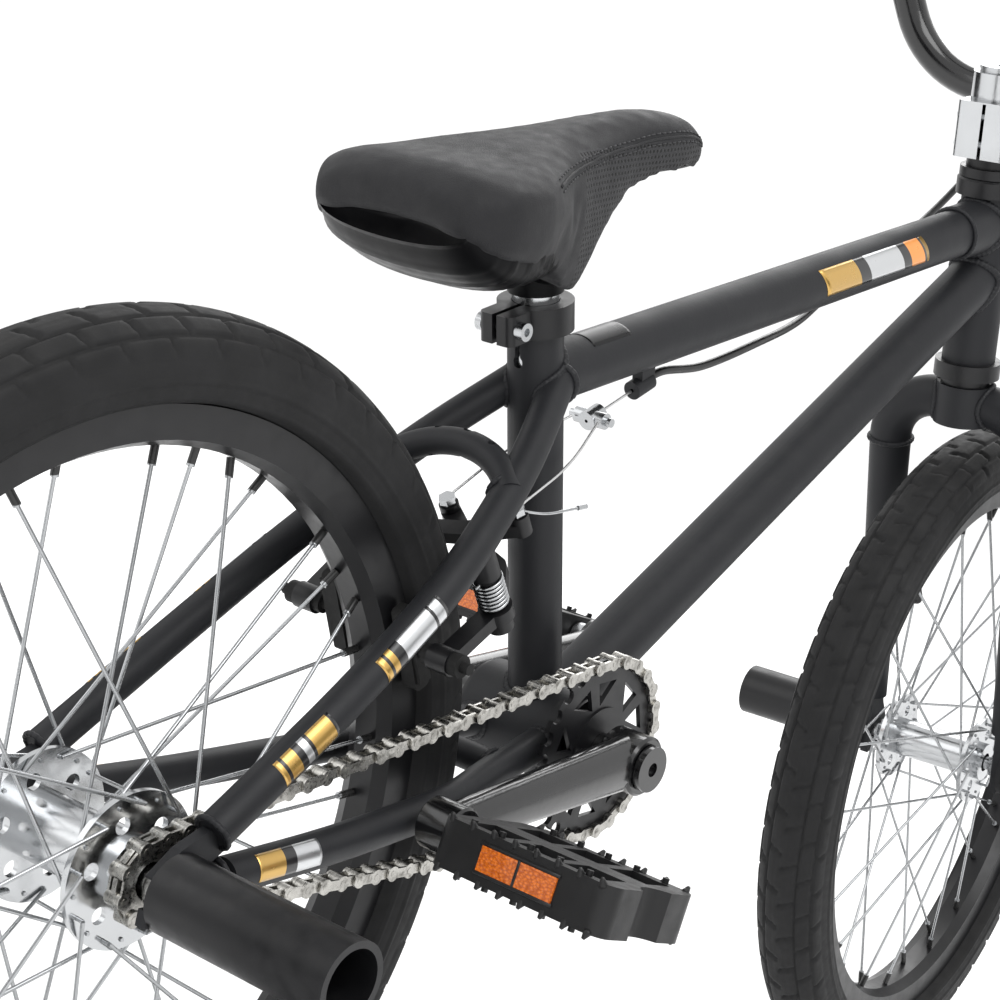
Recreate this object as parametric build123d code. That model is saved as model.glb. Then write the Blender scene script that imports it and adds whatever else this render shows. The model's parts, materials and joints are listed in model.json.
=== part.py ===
from build123d import *
import os
from math import acos, atan2, cos, degrees, hypot, pi, radians, sin, sqrt, tan

os.makedirs("parts", exist_ok=True)

# Freestyle BMX bicycle, 20 inch wheels. X is forward, Y is to the rider's left, Z is up.
# The origin is on the ground, midway between the two axles. Lengths are millimetres.

# Layout
WHEELBASE = 876.0
WHEEL_R = 250.0
BB_FROM_REAR = 332.6
BB_HEIGHT = 293.6
SEAT_ANGLE = 69.1
HEAD_ANGLE = 74.34
FORK_OFFSET = 34.9
REST_STEER = 4.6
CRANK_ANGLE = 7.5
CRANK_LENGTH = 167.0
PEDAL_TILT = 9.0
CHAINLINE = 43.6
PITCH = 12.7
RING_TEETH = 25
COG_TEETH = 9

# Frame tubes
TOP_TUBE_R = 16.2
TOP_TUBE_ANGLE = 17.4
TOP_TUBE_JOIN = 208.8
DOWN_TUBE_R = 17.6
DOWN_TUBE_ANGLE = 37.2
SEAT_TUBE_R = 15.1
SEAT_TUBE_LENGTH = 250.0
WALL = 2.2
BB_R = 28.0
BB_HALF = 34.0
BB_CUP_DEPTH = 11.0
HEAD_R = 18.6
HEAD_LOW = 314.0
HEAD_TOP = 432.0
STEERER_R = 14.29
STAY_R = 9.2
STAY_HALF = 59.0
DROPOUT_THICK = 6.0
DROPOUT_INNER = 55.0

# Wheels
TYRE_HALF = 27.0
TYRE_CENTRE_R = 222.5
RIM_HALF = 15.5
RIM_INNER_R = 188.6
RIM_OUTER_R = 209.0
SPOKES = 36
SPOKE_R = 1.0
REAR_FLANGE_Y = 30.0
FRONT_FLANGE_Y = 33.0
PEG_R = 19.0
PEG_LENGTH = 105.0
REAR_AXLE_R = 7.0
FRONT_AXLE_R = 5.0
FRONT_INNER = 50.0

# Seat
POST_R = 12.7
CLAMP_R = 20.5

# Cockpit, on the steering axis measured up from the foot of the axle's perpendicular
CROWN_LOW = 268.0
STEM_LOW = 459.0
STEM_TOP = 515.0
BAR_R = 11.1
BAR_REACH = 50.0
BAR_HEIGHT = 495.0
BAR_BEND_R = 70.0
BAR_FLAT_HALF = 29.5
BAR_LEG_ANGLE = 68.0
BAR_RISE = 205.0
BAR_HALF = 355.0
BAR_TOP_BEND_R = 60.0
BAR_BACKSWEEP = 12.0
BAR_UPSWEEP = 2.0
CROSSBAR_RISE = 135.0

REAR = Vector(-WHEELBASE / 2, 0, WHEEL_R)
FRONT = Vector(WHEELBASE / 2, 0, WHEEL_R)
BB = Vector(REAR.X + BB_FROM_REAR, 0, BB_HEIGHT)
SEAT_DIR = Vector(-cos(radians(SEAT_ANGLE)), 0, sin(radians(SEAT_ANGLE)))
HEAD_DIR = Vector(-cos(radians(HEAD_ANGLE)), 0, sin(radians(HEAD_ANGLE)))
HEAD_FWD = Vector(sin(radians(HEAD_ANGLE)), 0, cos(radians(HEAD_ANGLE)))
STEER_FOOT = FRONT - HEAD_FWD * FORK_OFFSET

# HEAD carries the head tube's own frame (Z up its axis) into the bicycle's frame,
# and STEER does the same for everything that turns with the bars.
HEAD = Pos(STEER_FOOT.X, 0, STEER_FOOT.Z) * Rot(0, HEAD_ANGLE - 90, 0)
STEER = HEAD * Rot(0, 0, REST_STEER)
CRANK = Pos(BB.X, 0, BB.Z) * Rot(0, -CRANK_ANGLE, 0)


def save(name, shape):
    """Writes one node; a list is kept as separate solids."""
    if isinstance(shape, list):
        shape = Compound(children=[s for s in flat_solids(shape)])
    export_step(shape, f"parts/{name}.step")


def flat_solids(shapes):
    out = []
    for shape in shapes:
        for solid in shape.solids():
            out.append(solid)
    return out


def rod(start, end, radius):
    """A solid cylinder between two points."""
    start = Vector(*start)
    end = Vector(*end)
    axis = end - start
    plane = Plane(origin=start, z_dir=axis)
    return plane.location * Cylinder(radius, axis.length, align=(Align.CENTER, Align.CENTER, Align.MIN))


def cone(start, end, r_start, r_end):
    """A solid cone frustum between two points."""
    start = Vector(*start)
    end = Vector(*end)
    axis = end - start
    plane = Plane(origin=start, z_dir=axis)
    low = (Align.CENTER, Align.CENTER, Align.MIN)
    return plane.location * Cone(r_start, r_end, axis.length, align=low)


def across(radius, y_from, y_to, x=0.0, z=0.0):
    """A cylinder along Y."""
    return rod((x, y_from, z), (x, y_to, z), radius)


def sweep_round(path, radius):
    """A round bar along a wire or edge."""
    start = path @ 0
    tangent = path % 0
    section = Plane(origin=start, z_dir=tangent) * Circle(radius)
    return sweep(section, path=path)


def rounded_path(points, radii):
    """A wire of straight runs joined by arcs; one radius for each inner point."""
    points = [Vector(*p) for p in points]
    edges = []
    last = points[0]
    for before, corner, after, radius in zip(points, points[1:], points[2:], radii):
        to_before = (before - corner).normalized()
        to_after = (after - corner).normalized()
        opening = acos(max(-1.0, min(1.0, to_before.dot(to_after))))
        back = radius / tan(opening / 2)
        arc_start = corner + to_before * back
        arc_end = corner + to_after * back
        bisector = (to_before + to_after).normalized()
        middle = corner + bisector * (radius / sin(opening / 2) - radius)
        edges.append(Line(last, arc_start))
        edges.append(ThreePointArc(arc_start, middle, arc_end))
        last = arc_end
    edges.append(Line(last, points[-1]))
    return Wire(edges)


def bent_path(points):
    """A wire through the points' runs, each corner rounded by the largest arc its two runs allow."""
    points = [Vector(*p) for p in points]
    radii = []
    for before, corner, after in zip(points, points[1:], points[2:]):
        run_in = corner - before
        run_out = after - corner
        bend = acos(max(-1.0, min(1.0, run_in.normalized().dot(run_out.normalized()))))
        radii.append(0.45 * min(run_in.length, run_out.length) / tan(bend / 2))
    return rounded_path(points, radii)


def slab(points, half_width, low, high):
    """A flat bar of constant width whose corners and ends are round, lying between two heights."""
    bar = None
    for start, end in zip(points, points[1:]):
        run = Vector(*end) - Vector(*start)
        middle = (Vector(*start) + Vector(*end)) * 0.5
        place = Pos(middle.X, middle.Y, (low + high) / 2) * Rot(0, 0, degrees(atan2(run.Y, run.X)))
        piece = place * Box(run.length, 2 * half_width, high - low)
        piece = piece + rod((start[0], start[1], low), (start[0], start[1], high), half_width)
        piece = piece + rod((end[0], end[1], low), (end[0], end[1], high), half_width)
        bar = piece if bar is None else bar + piece
    return bar


def ring(outer, inner, y_from, y_to):
    """A washer about the Y axis through the origin."""
    return across(outer, y_from, y_to) - across(inner, y_from - 1, y_to + 1)


def at(point, shape):
    return Pos(point.X, point.Y, point.Z) * shape


def mirrored(shape):
    return mirror(shape, about=Plane.XZ)


# ---------------------------------------------------------------- frame tubes

def along_seat(distance):
    return BB + SEAT_DIR * distance


def seat_outer(extra=0.0):
    return rod(BB, along_seat(SEAT_TUBE_LENGTH), SEAT_TUBE_R + extra)


def bb_outer():
    return at(BB, across(BB_R, -BB_HALF, BB_HALF))


def head_outer():
    return HEAD * Pos(0, 0, HEAD_LOW) * Cylinder(
        HEAD_R, HEAD_TOP - HEAD_LOW, align=(Align.CENTER, Align.CENTER, Align.MIN)
    )


TOP_DIR = Vector(cos(radians(TOP_TUBE_ANGLE)), 0, sin(radians(TOP_TUBE_ANGLE)))
DOWN_DIR = Vector(cos(radians(DOWN_TUBE_ANGLE)), 0, sin(radians(DOWN_TUBE_ANGLE)))
TOP_START = along_seat(TOP_TUBE_JOIN)


def meets_head(start, direction):
    """Distance along a tube to the steering axis."""
    gap = STEER_FOOT - start
    cross = direction.X * HEAD_DIR.Z - direction.Z * HEAD_DIR.X
    return (gap.X * HEAD_DIR.Z - gap.Z * HEAD_DIR.X) / cross


TOP_LENGTH = meets_head(TOP_START, TOP_DIR)
DOWN_LENGTH = meets_head(BB, DOWN_DIR)


def top_outer():
    end = TOP_START + TOP_DIR * TOP_LENGTH
    collar = TOP_START + TOP_DIR * (TOP_LENGTH - 46)
    tube = rod(TOP_START, end, TOP_TUBE_R)
    return tube + rod(collar, end, TOP_TUBE_R + 2.3)


def down_outer():
    return rod(BB, BB + DOWN_DIR * DOWN_LENGTH, DOWN_TUBE_R)


def make_head_tube():
    bore = HEAD * Pos(0, 0, HEAD_LOW - 1) * Cylinder(
        16.0, HEAD_TOP - HEAD_LOW + 2, align=(Align.CENTER, Align.CENTER, Align.MIN)
    )
    return head_outer() - bore


def make_seat_tube():
    tube = seat_outer() - rod(along_seat(0), along_seat(SEAT_TUBE_LENGTH + 1), POST_R + 0.05)
    slot_top = along_seat(SEAT_TUBE_LENGTH + 1)
    slot_foot = along_seat(SEAT_TUBE_LENGTH - 34)
    rear = Vector(-SEAT_TUBE_R, 0, 0)
    tilt = Rot(0, SEAT_ANGLE - 90, 0)
    middle = (slot_top + slot_foot) * 0.5 + rear
    slot = Pos(middle.X, middle.Y, middle.Z) * tilt * Box(16, 3.2, (slot_top - slot_foot).length)
    slot_end = rod(slot_foot + rear * 1.7, slot_foot + rear * 0.3, 3.0)
    return tube - bb_outer() - slot - slot_end


def make_bb_shell():
    shell = at(BB, ring(BB_R, BB_R - 4.5, -BB_HALF, BB_HALF))
    step = at(BB, ring(BB_R - 4.5, 20.0, -BB_HALF + BB_CUP_DEPTH, BB_HALF - BB_CUP_DEPTH))
    return shell + step


def make_top_tube():
    tube = top_outer() - rod(TOP_START, TOP_START + TOP_DIR * TOP_LENGTH, TOP_TUBE_R - WALL)
    return largest(tube - seat_outer() - head_outer())


def make_down_tube():
    tube = down_outer() - rod(BB, BB + DOWN_DIR * DOWN_LENGTH, DOWN_TUBE_R - WALL)
    return largest(tube - bb_outer() - head_outer() - seat_outer() - top_outer())


def largest(shape):
    return max(shape.solids(), key=lambda s: s.volume)


SEAT_STAY = [
    (-172, -10, 492), (-218, -34, 447), (-280, -52, 389), (-345, -57.5, 335), (-421, -STAY_HALF, 275.5),
]
CHAIN_STAY = [
    (-408, -58.6, 254), (-330, -54, 260), (-232, -46, 271.5), (-186, -33, 279.5), (-128, -22, 291),
]


def stay(points):
    return sweep_round(bent_path(points), STAY_R)


def make_seat_stays():
    right = stay(SEAT_STAY) - seat_outer() - top_outer()
    right = largest(right - dropout_envelope(-1))
    left = mirrored(right)
    arch = ThreePointArc((-235, -40, 434), (-226, 0, 450), (-235, 40, 434))
    bridge = sweep_round(Wire([arch]), 7.5)
    bridge = bridge - stay(SEAT_STAY) - mirrored(stay(SEAT_STAY))
    bridge = largest(bridge)
    bridge = bridge - rod((-226, 0, 430), (-226, 0, 470), 3.2)
    bridge = bridge - rod((-229, -18, 430), (-229, -18, 470), 2.0)
    bridge = bridge - rod((-229, 18, 430), (-229, 18, 470), 2.0)
    return [right, left, largest(bridge)]


def make_chain_stays():
    right = largest(stay(CHAIN_STAY) - bb_outer() - seat_outer() - down_outer() - dropout_envelope(-1))
    left = mirrored(right)
    bridge = across(8.0, -45, 45, -176, 282) - stay(CHAIN_STAY) - mirrored(stay(CHAIN_STAY))
    bridge = largest(bridge)
    bridge = bridge - rod((-200, 0, 282), (-150, 0, 282), 3.2)
    return [right, left, bridge]


def dropout_profile():
    """Side outline of a rear dropout, in X and Z about the axle."""
    plate = Plane.XZ * Polygon(
        (-15, -15), (-15, 8), (-2, 20), (14, 28), (27, 19), (16, 11), (34, 9), (32, -4), (12, -15), align=None
    )
    return plate


def dropout_envelope(side):
    """Room that the stays leave for the dropout plates."""
    inner = DROPOUT_INNER - 0.01
    plate = extrude(dropout_profile(), amount=DROPOUT_THICK + 0.02, dir=(0, 1, 0))
    plate = at(REAR, Pos(0, inner, 0) * plate)
    return plate if side > 0 else mirrored(plate)


def make_dropouts():
    plate = extrude(dropout_profile(), amount=DROPOUT_THICK, dir=(0, 1, 0))
    slot = across(REAR_AXLE_R + 0.05, -1, DROPOUT_THICK + 1)
    slot = slot + Pos(-10, DROPOUT_THICK / 2, 0) * Box(20, DROPOUT_THICK + 2, 2 * (REAR_AXLE_R + 0.05))
    plate = Pos(0, DROPOUT_INNER, 0) * (plate - slot)
    plate = at(REAR, plate)
    return [plate, mirrored(plate)]


# ------------------------------------------------------- headset and bearings

def head_ring(outer, inner, low, high):
    body = Cylinder(outer, high - low, align=(Align.CENTER, Align.CENTER, Align.MIN))
    hole = Cylinder(inner, high - low + 2, align=(Align.CENTER, Align.CENTER, Align.MIN))
    return Pos(0, 0, low) * (body - Pos(0, 0, -1) * hole)


def make_headset_cups():
    lower = head_ring(23.0, 17.5, HEAD_LOW - 11.5, HEAD_LOW)
    upper = head_ring(23.0, 17.5, HEAD_TOP, HEAD_TOP + 12)
    upper = chamfer(upper.edges().filter_by(GeomType.CIRCLE).sort_by(Axis.Z)[-2:], 1.5)
    return [HEAD * lower, HEAD * upper]


def make_headset_top():
    race = head_ring(17.0, STEERER_R + 0.05, HEAD_LOW - 17, HEAD_LOW - 12)
    cap = head_ring(22.0, STEERER_R + 0.05, HEAD_TOP + 12.5, HEAD_TOP + 19)
    spacer = head_ring(18.2, STEERER_R + 0.05, HEAD_TOP + 19.01, STEM_LOW - 0.01)
    return [STEER * race, STEER * cap, STEER * spacer]


def make_bb_bearings():
    cup = ring(BB_R - 4.55, 9.7, -BB_HALF - 3, -BB_HALF + BB_CUP_DEPTH - 0.05)
    lip = ring(BB_R - 1.5, BB_R - 6, -BB_HALF - 3, -BB_HALF - 0.05)
    right = at(BB, cup + lip)
    return [right, mirrored(right)]


# ------------------------------------------------------------------ seat group

def seat_frame(distance):
    """Frame on the seat tube's axis with Z up the tube."""
    point = along_seat(distance)
    return Pos(point.X, point.Y, point.Z) * Rot(0, SEAT_ANGLE - 90, 0)


CLAMP_LOW = SEAT_TUBE_LENGTH - 13.0
CLAMP_HIGH = SEAT_TUBE_LENGTH + 3.0


def make_seat_clamp():
    low = (Align.CENTER, Align.CENTER, Align.MIN)
    height = CLAMP_HIGH - CLAMP_LOW
    band = Cylinder(CLAMP_R, height, align=low)
    ears = Pos(-24, 0, height / 2) * Box(20, 22, height)
    ears = fillet(ears.edges().filter_by(Axis.Z), 4)
    body = band + ears
    body = body - Pos(0, 0, -1) * Cylinder(SEAT_TUBE_R + 0.05, SEAT_TUBE_LENGTH - CLAMP_LOW + 1.05, align=low)
    body = body - Pos(0, 0, -1) * Cylinder(POST_R + 0.3, height + 2, align=low)
    body = body - Pos(-23.5, 0, height / 2) * Box(27, 3.0, height + 2)
    body = body - across(3.0, -20, 20, -27, height / 2)
    return seat_frame(CLAMP_LOW) * largest(body)


def make_seat_clamp_bolt():
    height = CLAMP_HIGH - CLAMP_LOW
    shank = across(2.95, -16, 14, -27, height / 2)
    head = across(4.8, -16, -11.05, -27, height / 2)
    socket = across(2.2, -17, -13, -27, height / 2)
    nut = across(5.0, 11.05, 15, -27, height / 2)
    return seat_frame(CLAMP_LOW) * (shank + head - socket + nut)


POST_FOOT = 175.0
SOCKET_FOOT = SEAT_TUBE_LENGTH + 8.0
SADDLE_TILT = 12.0


def make_seatpost():
    return rod(along_seat(POST_FOOT), along_seat(SEAT_TUBE_LENGTH + 40), POST_R)


SADDLE_STATIONS = [
    # distance forward of the tail, half width, top height, skirt depth
    (0, 54, 0, 24),
    (12, 62, 4, 30),
    (35, 62, 4, 34),
    (62, 56, 3, 38),
    (85, 44, 5, 48),
    (105, 33, 7, 68),
    (122, 28, 9, 75),
    (138, 25, 12, 60),
    (155, 22, 14, 40),
    (190, 19, 17, 31),
    (222, 18, 16, 29),
    (242, 14, 12, 24),
    (252, 7, 6, 16),
]


def saddle_loft(stations, inset, drop, top_drop=0.0):
    """Loft through rounded rectangles along the saddle's length."""
    sections = []
    for x, half, top, depth in stations:
        half = half - inset
        high = top - drop
        low = top - depth + top_drop
        height = high - low
        plane = Plane(origin=(x, 0, (high + low) / 2), x_dir=(0, 1, 0), z_dir=(1, 0, 0))
        corner = min(half, height / 2) * 0.62
        sections.append(plane * RectangleRounded(2 * half, height, corner))
    return loft(sections)


def saddle_place(shape):
    return Pos(-334, 0, 581) * Rot(0, -SADDLE_TILT, 0) * shape


def make_saddle():
    """The shell carries the post socket; the pad is the upholstered cover over it."""
    outer = saddle_loft(SADDLE_STATIONS, 0, 0)
    split = Pos(120, 0, -62) * Box(320, 160, 100)
    pad = outer - split
    under = [(x, h * 0.86, t, d) for x, h, t, d in SADDLE_STATIONS[1:-1]]
    shell = saddle_loft(under, 0, 11.0, -2.0)
    shell = shell & Pos(120, 0, -62.2) * Box(320, 160, 99.8)
    pad = saddle_place(pad)
    shell = saddle_place(shell)
    socket = rod(along_seat(SOCKET_FOOT), along_seat(SEAT_TUBE_LENGTH + 55), 15.0)
    shell = shell + socket
    shell = shell - rod(along_seat(SOCKET_FOOT - 1), along_seat(SEAT_TUBE_LENGTH + 40.01), POST_R + 0.02)
    shell = largest(shell - pad)
    return shell, largest(pad)


# --------------------------------------------------------------------- wheels

def make_tyre():
    """Tyre section turned about Y: round tread, flat bead over the rim."""
    r_low = RIM_OUTER_R - 5
    outer = Pos(TYRE_CENTRE_R, 0) * Ellipse(WHEEL_R - TYRE_CENTRE_R, TYRE_HALF)
    bead = Pos(r_low + 8, 0) * Rectangle(16, 2 * (RIM_HALF - 2.1))
    inner = Pos(TYRE_CENTRE_R, 0) * Ellipse(WHEEL_R - TYRE_CENTRE_R - 4.5, TYRE_HALF - 3.0)
    throat = Pos(r_low + 6, 0) * Rectangle(24, 2 * (RIM_HALF - 6))
    section = outer + bead - inner - throat
    section = section - Pos(100, 0) * Rectangle(2 * (r_low - 100), 80)
    for side in (-1, 1):
        section = section - Pos(r_low - 5, side * (RIM_HALF - 2.1 + 10)) * Rectangle(2 * 10.3, 20)
    return turn(section)


def turn(section):
    """Turns a sketch drawn with X as radius and Y as the axle direction about the axle."""
    face = Plane(origin=(0, 0, 0), x_dir=(1, 0, 0), z_dir=(0, 0, 1)) * section
    return revolve(face, axis=Axis.Y, revolution_arc=360)


def make_rim():
    low = RIM_INNER_R
    high = RIM_OUTER_R
    well = high - 10
    outline = Polygon(
        (low, -7), (low, 7), (low + 4, RIM_HALF - 1.2), (high, RIM_HALF), (high, RIM_HALF - 2),
        (well + 1, RIM_HALF - 2), (well, RIM_HALF - 5), (well - 2, 0), (well, -RIM_HALF + 5),
        (well + 1, -RIM_HALF + 2), (high, -RIM_HALF + 2), (high, -RIM_HALF), (low + 4, -RIM_HALF + 1.2),
        align=None,
    )
    hollow = Polygon(
        (low + 2, -6), (low + 2, 6), (low + 5, RIM_HALF - 4), (well - 2, RIM_HALF - 5),
        (well - 4, 0), (well - 2, -RIM_HALF + 5), (low + 5, -RIM_HALF + 4), align=None,
    )
    rim = turn(outline - hollow)
    return rim - valve_hole()


VALVE_ANGLE = {"rear": 4.0, "front": -117.0}


def valve_hole():
    return rod((RIM_INNER_R - 8, 0, 0), (RIM_OUTER_R, 0, 0), 4.2)


def make_inner_tube():
    tube = turn(Pos(TYRE_CENTRE_R + 4.7, 0) * (Ellipse(17.2, 20.5) - Ellipse(15.4, 18.7)))
    stem = rod((RIM_INNER_R - 14, 0, 0), (TYRE_CENTRE_R - 12.6, 0, 0), 3.9)
    cap = rod((RIM_INNER_R - 24, 0, 0), (RIM_INNER_R - 14.02, 0, 0), 4.3)
    return [tube, stem, cap]


def flange_point(angle, flange_r, y):
    return Vector(flange_r * cos(angle), y, flange_r * sin(angle))


# How far each kind of spoke starts from the flange's middle, and how far its head stands on the other side
OUTER_SPOKE = 5.6
INNER_SPOKE = 2.75
SPOKE_HEAD = 2.5


def make_spokes(flange_r, flange_y, cross=3):
    """Laced in pairs: each spoke leaves its flange tangentially and ends in a nipple at the rim."""
    spokes = []
    per_side = SPOKES // 2
    step = 2 * pi / per_side
    for side in (-1, 1):
        for n in range(per_side):
            lean = 1 if n % 2 else -1
            hub_angle = n * step + (step / 2 if side > 0 else 0.0)
            rim_angle = hub_angle + lean * cross * step + (step / 4) * (-lean if side > 0 else lean) * 0.5
            outside = n % 2
            start_y = flange_y + (OUTER_SPOKE if outside else -INNER_SPOKE)
            head_y = flange_y + (-SPOKE_HEAD if outside else SPOKE_HEAD)
            start = flange_point(hub_angle, flange_r, side * start_y)
            elbow_end = flange_point(hub_angle, flange_r, side * head_y)
            end = flange_point(rim_angle, RIM_INNER_R - 1.0, side * 3.5)
            along = (end - start).normalized()
            nipple_start = end - along * 9
            spoke = rod(start, nipple_start, SPOKE_R)
            nipple = rod(nipple_start - along * 0.02, end + along * 0.6, 2.0)
            elbow = rod(start, elbow_end, SPOKE_R)
            spokes.append(spoke + nipple + elbow)
    return spokes


def make_hub(flange_r, flange_y, shell_r, bore_r, half):
    hub = ring(shell_r, bore_r, -half, half)
    for side in (-1, 1):
        flange = ring(flange_r + 4.5, shell_r - 1, side * flange_y - 1.6, side * flange_y + 1.6)
        hub = hub + flange
        y_low = side * flange_y - 3
        y_high = side * flange_y + 3
        for n in range(6):
            angle = n * pi / 3
            reach = (flange_r + shell_r) / 2 - 1
            hub = hub - across(4.2, y_low, y_high, reach * cos(angle), reach * sin(angle))
        per_side = SPOKES // 2
        for n in range(per_side):
            angle = (n + (0.5 if side > 0 else 0.0)) * 2 * pi / per_side
            hub = hub - across(SPOKE_R + 0.15, y_low, y_high, flange_r * cos(angle), flange_r * sin(angle))
    return hub


# ------------------------------------------------------------------ drivetrain

def solve_pitch():
    """Arc pitch that makes the chain's length a whole number of links round both sprockets."""
    distance = (BB - REAR).length
    arc_pitch = PITCH
    for _ in range(40):
        ring_r = RING_TEETH * arc_pitch / (2 * pi)
        cog_r = COG_TEETH * arc_pitch / (2 * pi)
        spread = acos((ring_r - cog_r) / distance)
        run = sqrt(distance ** 2 - (ring_r - cog_r) ** 2)
        total = 2 * run + 2 * ring_r * (pi - spread) + 2 * cog_r * spread
        arc_pitch = arc_pitch + (total / CHAIN_LINKS - arc_pitch) * 0.8
    return arc_pitch


CHAIN_LINKS = 70
ARC_PITCH = solve_pitch()
RING_R = RING_TEETH * ARC_PITCH / (2 * pi)
COG_R = COG_TEETH * ARC_PITCH / (2 * pi)
HEADING = atan2(BB.Z - REAR.Z, BB.X - REAR.X)
SPREAD = acos((RING_R - COG_R) / (BB - REAR).length)
RUN = sqrt((BB - REAR).length ** 2 - (RING_R - COG_R) ** 2)
FRONT_ARC = 2 * RING_R * (pi - SPREAD)
REAR_ARC = 2 * COG_R * SPREAD
RING_PHASE = HEADING - (pi - SPREAD)


def cog_phase():
    """Angle of the first pin that reaches the cog."""
    start = FRONT_ARC + RUN
    first = ARC_PITCH * int(start / ARC_PITCH + 1)
    return HEADING + pi - SPREAD + (first - start) / COG_R


def toothed_plate(teeth, radius, phase, thickness):
    """Sprocket blank with a round seat for each roller."""
    blank = across(radius + 2.4, -thickness / 2, thickness / 2)
    for n in range(teeth):
        angle = phase + 2 * pi * n / teeth
        blank = blank - across(4.1, -thickness, thickness, radius * cos(angle), radius * sin(angle))
    return blank


def make_chainring():
    plate = toothed_plate(RING_TEETH, RING_R, RING_PHASE - radians(CRANK_ANGLE), 2.8)
    centre = ring(24.0, 9.6, -2.6, 2.6)
    rim_low = RING_R - 10.5
    for n in range(5):
        mid = 2 * pi * n / 5
        for lean in (-1, 1):
            window = Plane.XZ * Polygon(
                polar(26, mid + lean * 0.50), polar(rim_low, mid + lean * 0.53),
                polar(rim_low, mid + lean * 0.12), align=None
            )
            plate = plate - extrude(window, amount=6, both=True)
    plate = plate + centre - across(9.62, -6, 6)
    drive_hole = across(4.0, -6, 6, -19, 0)
    return Pos(0, -CHAINLINE, 0) * largest(plate - drive_hole)


def polar(radius, angle):
    return (radius * cos(angle), radius * sin(angle))


def make_cog():
    plate = toothed_plate(COG_TEETH, COG_R, cog_phase(), 2.8)
    hub = ring(13.6, 9.0, 1.0, 7.2)
    body = plate + hub - across(9.0, -5, 12)
    return Pos(0, -CHAINLINE, 0) * body


def chain_point(distance):
    """Pin place at a distance along the loop, in the plane of symmetry: ring, upper run, cog, lower run."""
    if distance < FRONT_ARC:
        return around(BB, RING_R, RING_PHASE + distance / RING_R)
    distance = distance - FRONT_ARC
    leave = HEADING + pi - SPREAD
    if distance < RUN:
        start = around(BB, RING_R, leave)
        end = around(REAR, COG_R, leave)
        return start + (end - start) * (distance / RUN)
    distance = distance - RUN
    if distance < REAR_ARC:
        return around(REAR, COG_R, leave + distance / COG_R)
    distance = distance - REAR_ARC
    start = around(REAR, COG_R, RING_PHASE)
    end = around(BB, RING_R, RING_PHASE)
    return start + (end - start) * (distance / RUN)


def around(centre, radius, angle):
    return Vector(centre.X + radius * cos(angle), 0, centre.Z + radius * sin(angle))


def clear_rollers(sprocket, centre, radius):
    """Opens the teeth beside the rollers that are just leaving the sprocket."""
    for n in range(CHAIN_LINKS):
        pin = chain_point(ARC_PITCH * n)
        if hypot(pin.X - centre.X, pin.Z - centre.Z) < radius + 7:
            sprocket = sprocket - across(4.1, -CHAINLINE - 1.7, -CHAINLINE + 1.7, pin.X, pin.Z)
    return sprocket


def make_chain():
    """Inner and outer links in turn, each one solid of two plates and its rollers or pins."""
    points = [chain_point(ARC_PITCH * n) for n in range(CHAIN_LINKS)]
    links = []
    for n in range(CHAIN_LINKS):
        here = points[n]
        there = points[(n + 1) % CHAIN_LINKS]
        span = there - here
        turn_angle = degrees(atan2(span.Z, span.X))
        place = Pos(here.X, -CHAINLINE, here.Z) * Rot(0, -turn_angle, 0)
        inner = n % 2 == 0
        y_in = 1.9 if inner else 3.45
        thick = 1.4 if inner else 1.3
        link = None
        for side in (-1, 1):
            y0 = side * y_in
            y1 = side * (y_in + thick)
            plate = across(4.0, y0, y1) + across(4.0, y0, y1, span.length)
            bar = Pos(span.length / 2, (y0 + y1) / 2, 0) * Box(span.length, thick, 5.2)
            plate = plate + bar
            link = plate if link is None else link + plate
        if inner:
            for x in (0, span.length):
                link = link + across(3.85, -1.95, 1.95, x)
                link = link - across(1.9, -6, 6, x)
        else:
            for x in (0, span.length):
                link = link + across(1.8, -4.9, 4.9, x)
        links.append(place * link)
    return links


SPINDLE_R = 9.5
BOSS_IN = 54.5
BOSS_OUT = 78.0
EYE_IN = 65.0
EYE_OUT = 86.0
BOSS_MID = (BOSS_IN + BOSS_OUT) / 2
EYE_MID = (EYE_IN + EYE_OUT) / 2


def crank_arm():
    """Left arm, pointing forward along X from the spindle and leaning out to clear the stays."""
    boss = across(17.0, BOSS_IN, BOSS_OUT)
    boss = chamfer(boss.edges().filter_by(GeomType.CIRCLE), 1.5)
    eye = across(13.5, EYE_IN, EYE_OUT, CRANK_LENGTH)
    eye = chamfer(eye.edges().filter_by(GeomType.CIRCLE), 1.2)
    near = Plane(origin=(0, BOSS_MID, 0), x_dir=(0, 1, 0), z_dir=(1, 0, 0)) * Ellipse(11.6, 16.0)
    far = Plane(origin=(CRANK_LENGTH, EYE_MID, 0), x_dir=(0, 1, 0), z_dir=(1, 0, 0)) * Ellipse(10.2, 11.5)
    arm = boss + eye + loft([near, far])
    arm = arm - across(SPINDLE_R, 0, 100) - across(7.0, 0, 100, CRANK_LENGTH)
    return largest(arm)


def make_crank_arms():
    left = crank_arm()
    right = Rot(0, 180, 0) * mirrored(crank_arm())
    bolt_lug = Pos(0, -CHAINLINE, 0) * across(3.9, BOSS_IN * -1 + CHAINLINE - 1, 1.0, -19, 0)
    return [CRANK * left, CRANK * (right + bolt_lug - across(SPINDLE_R, -100, 0))]


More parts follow.
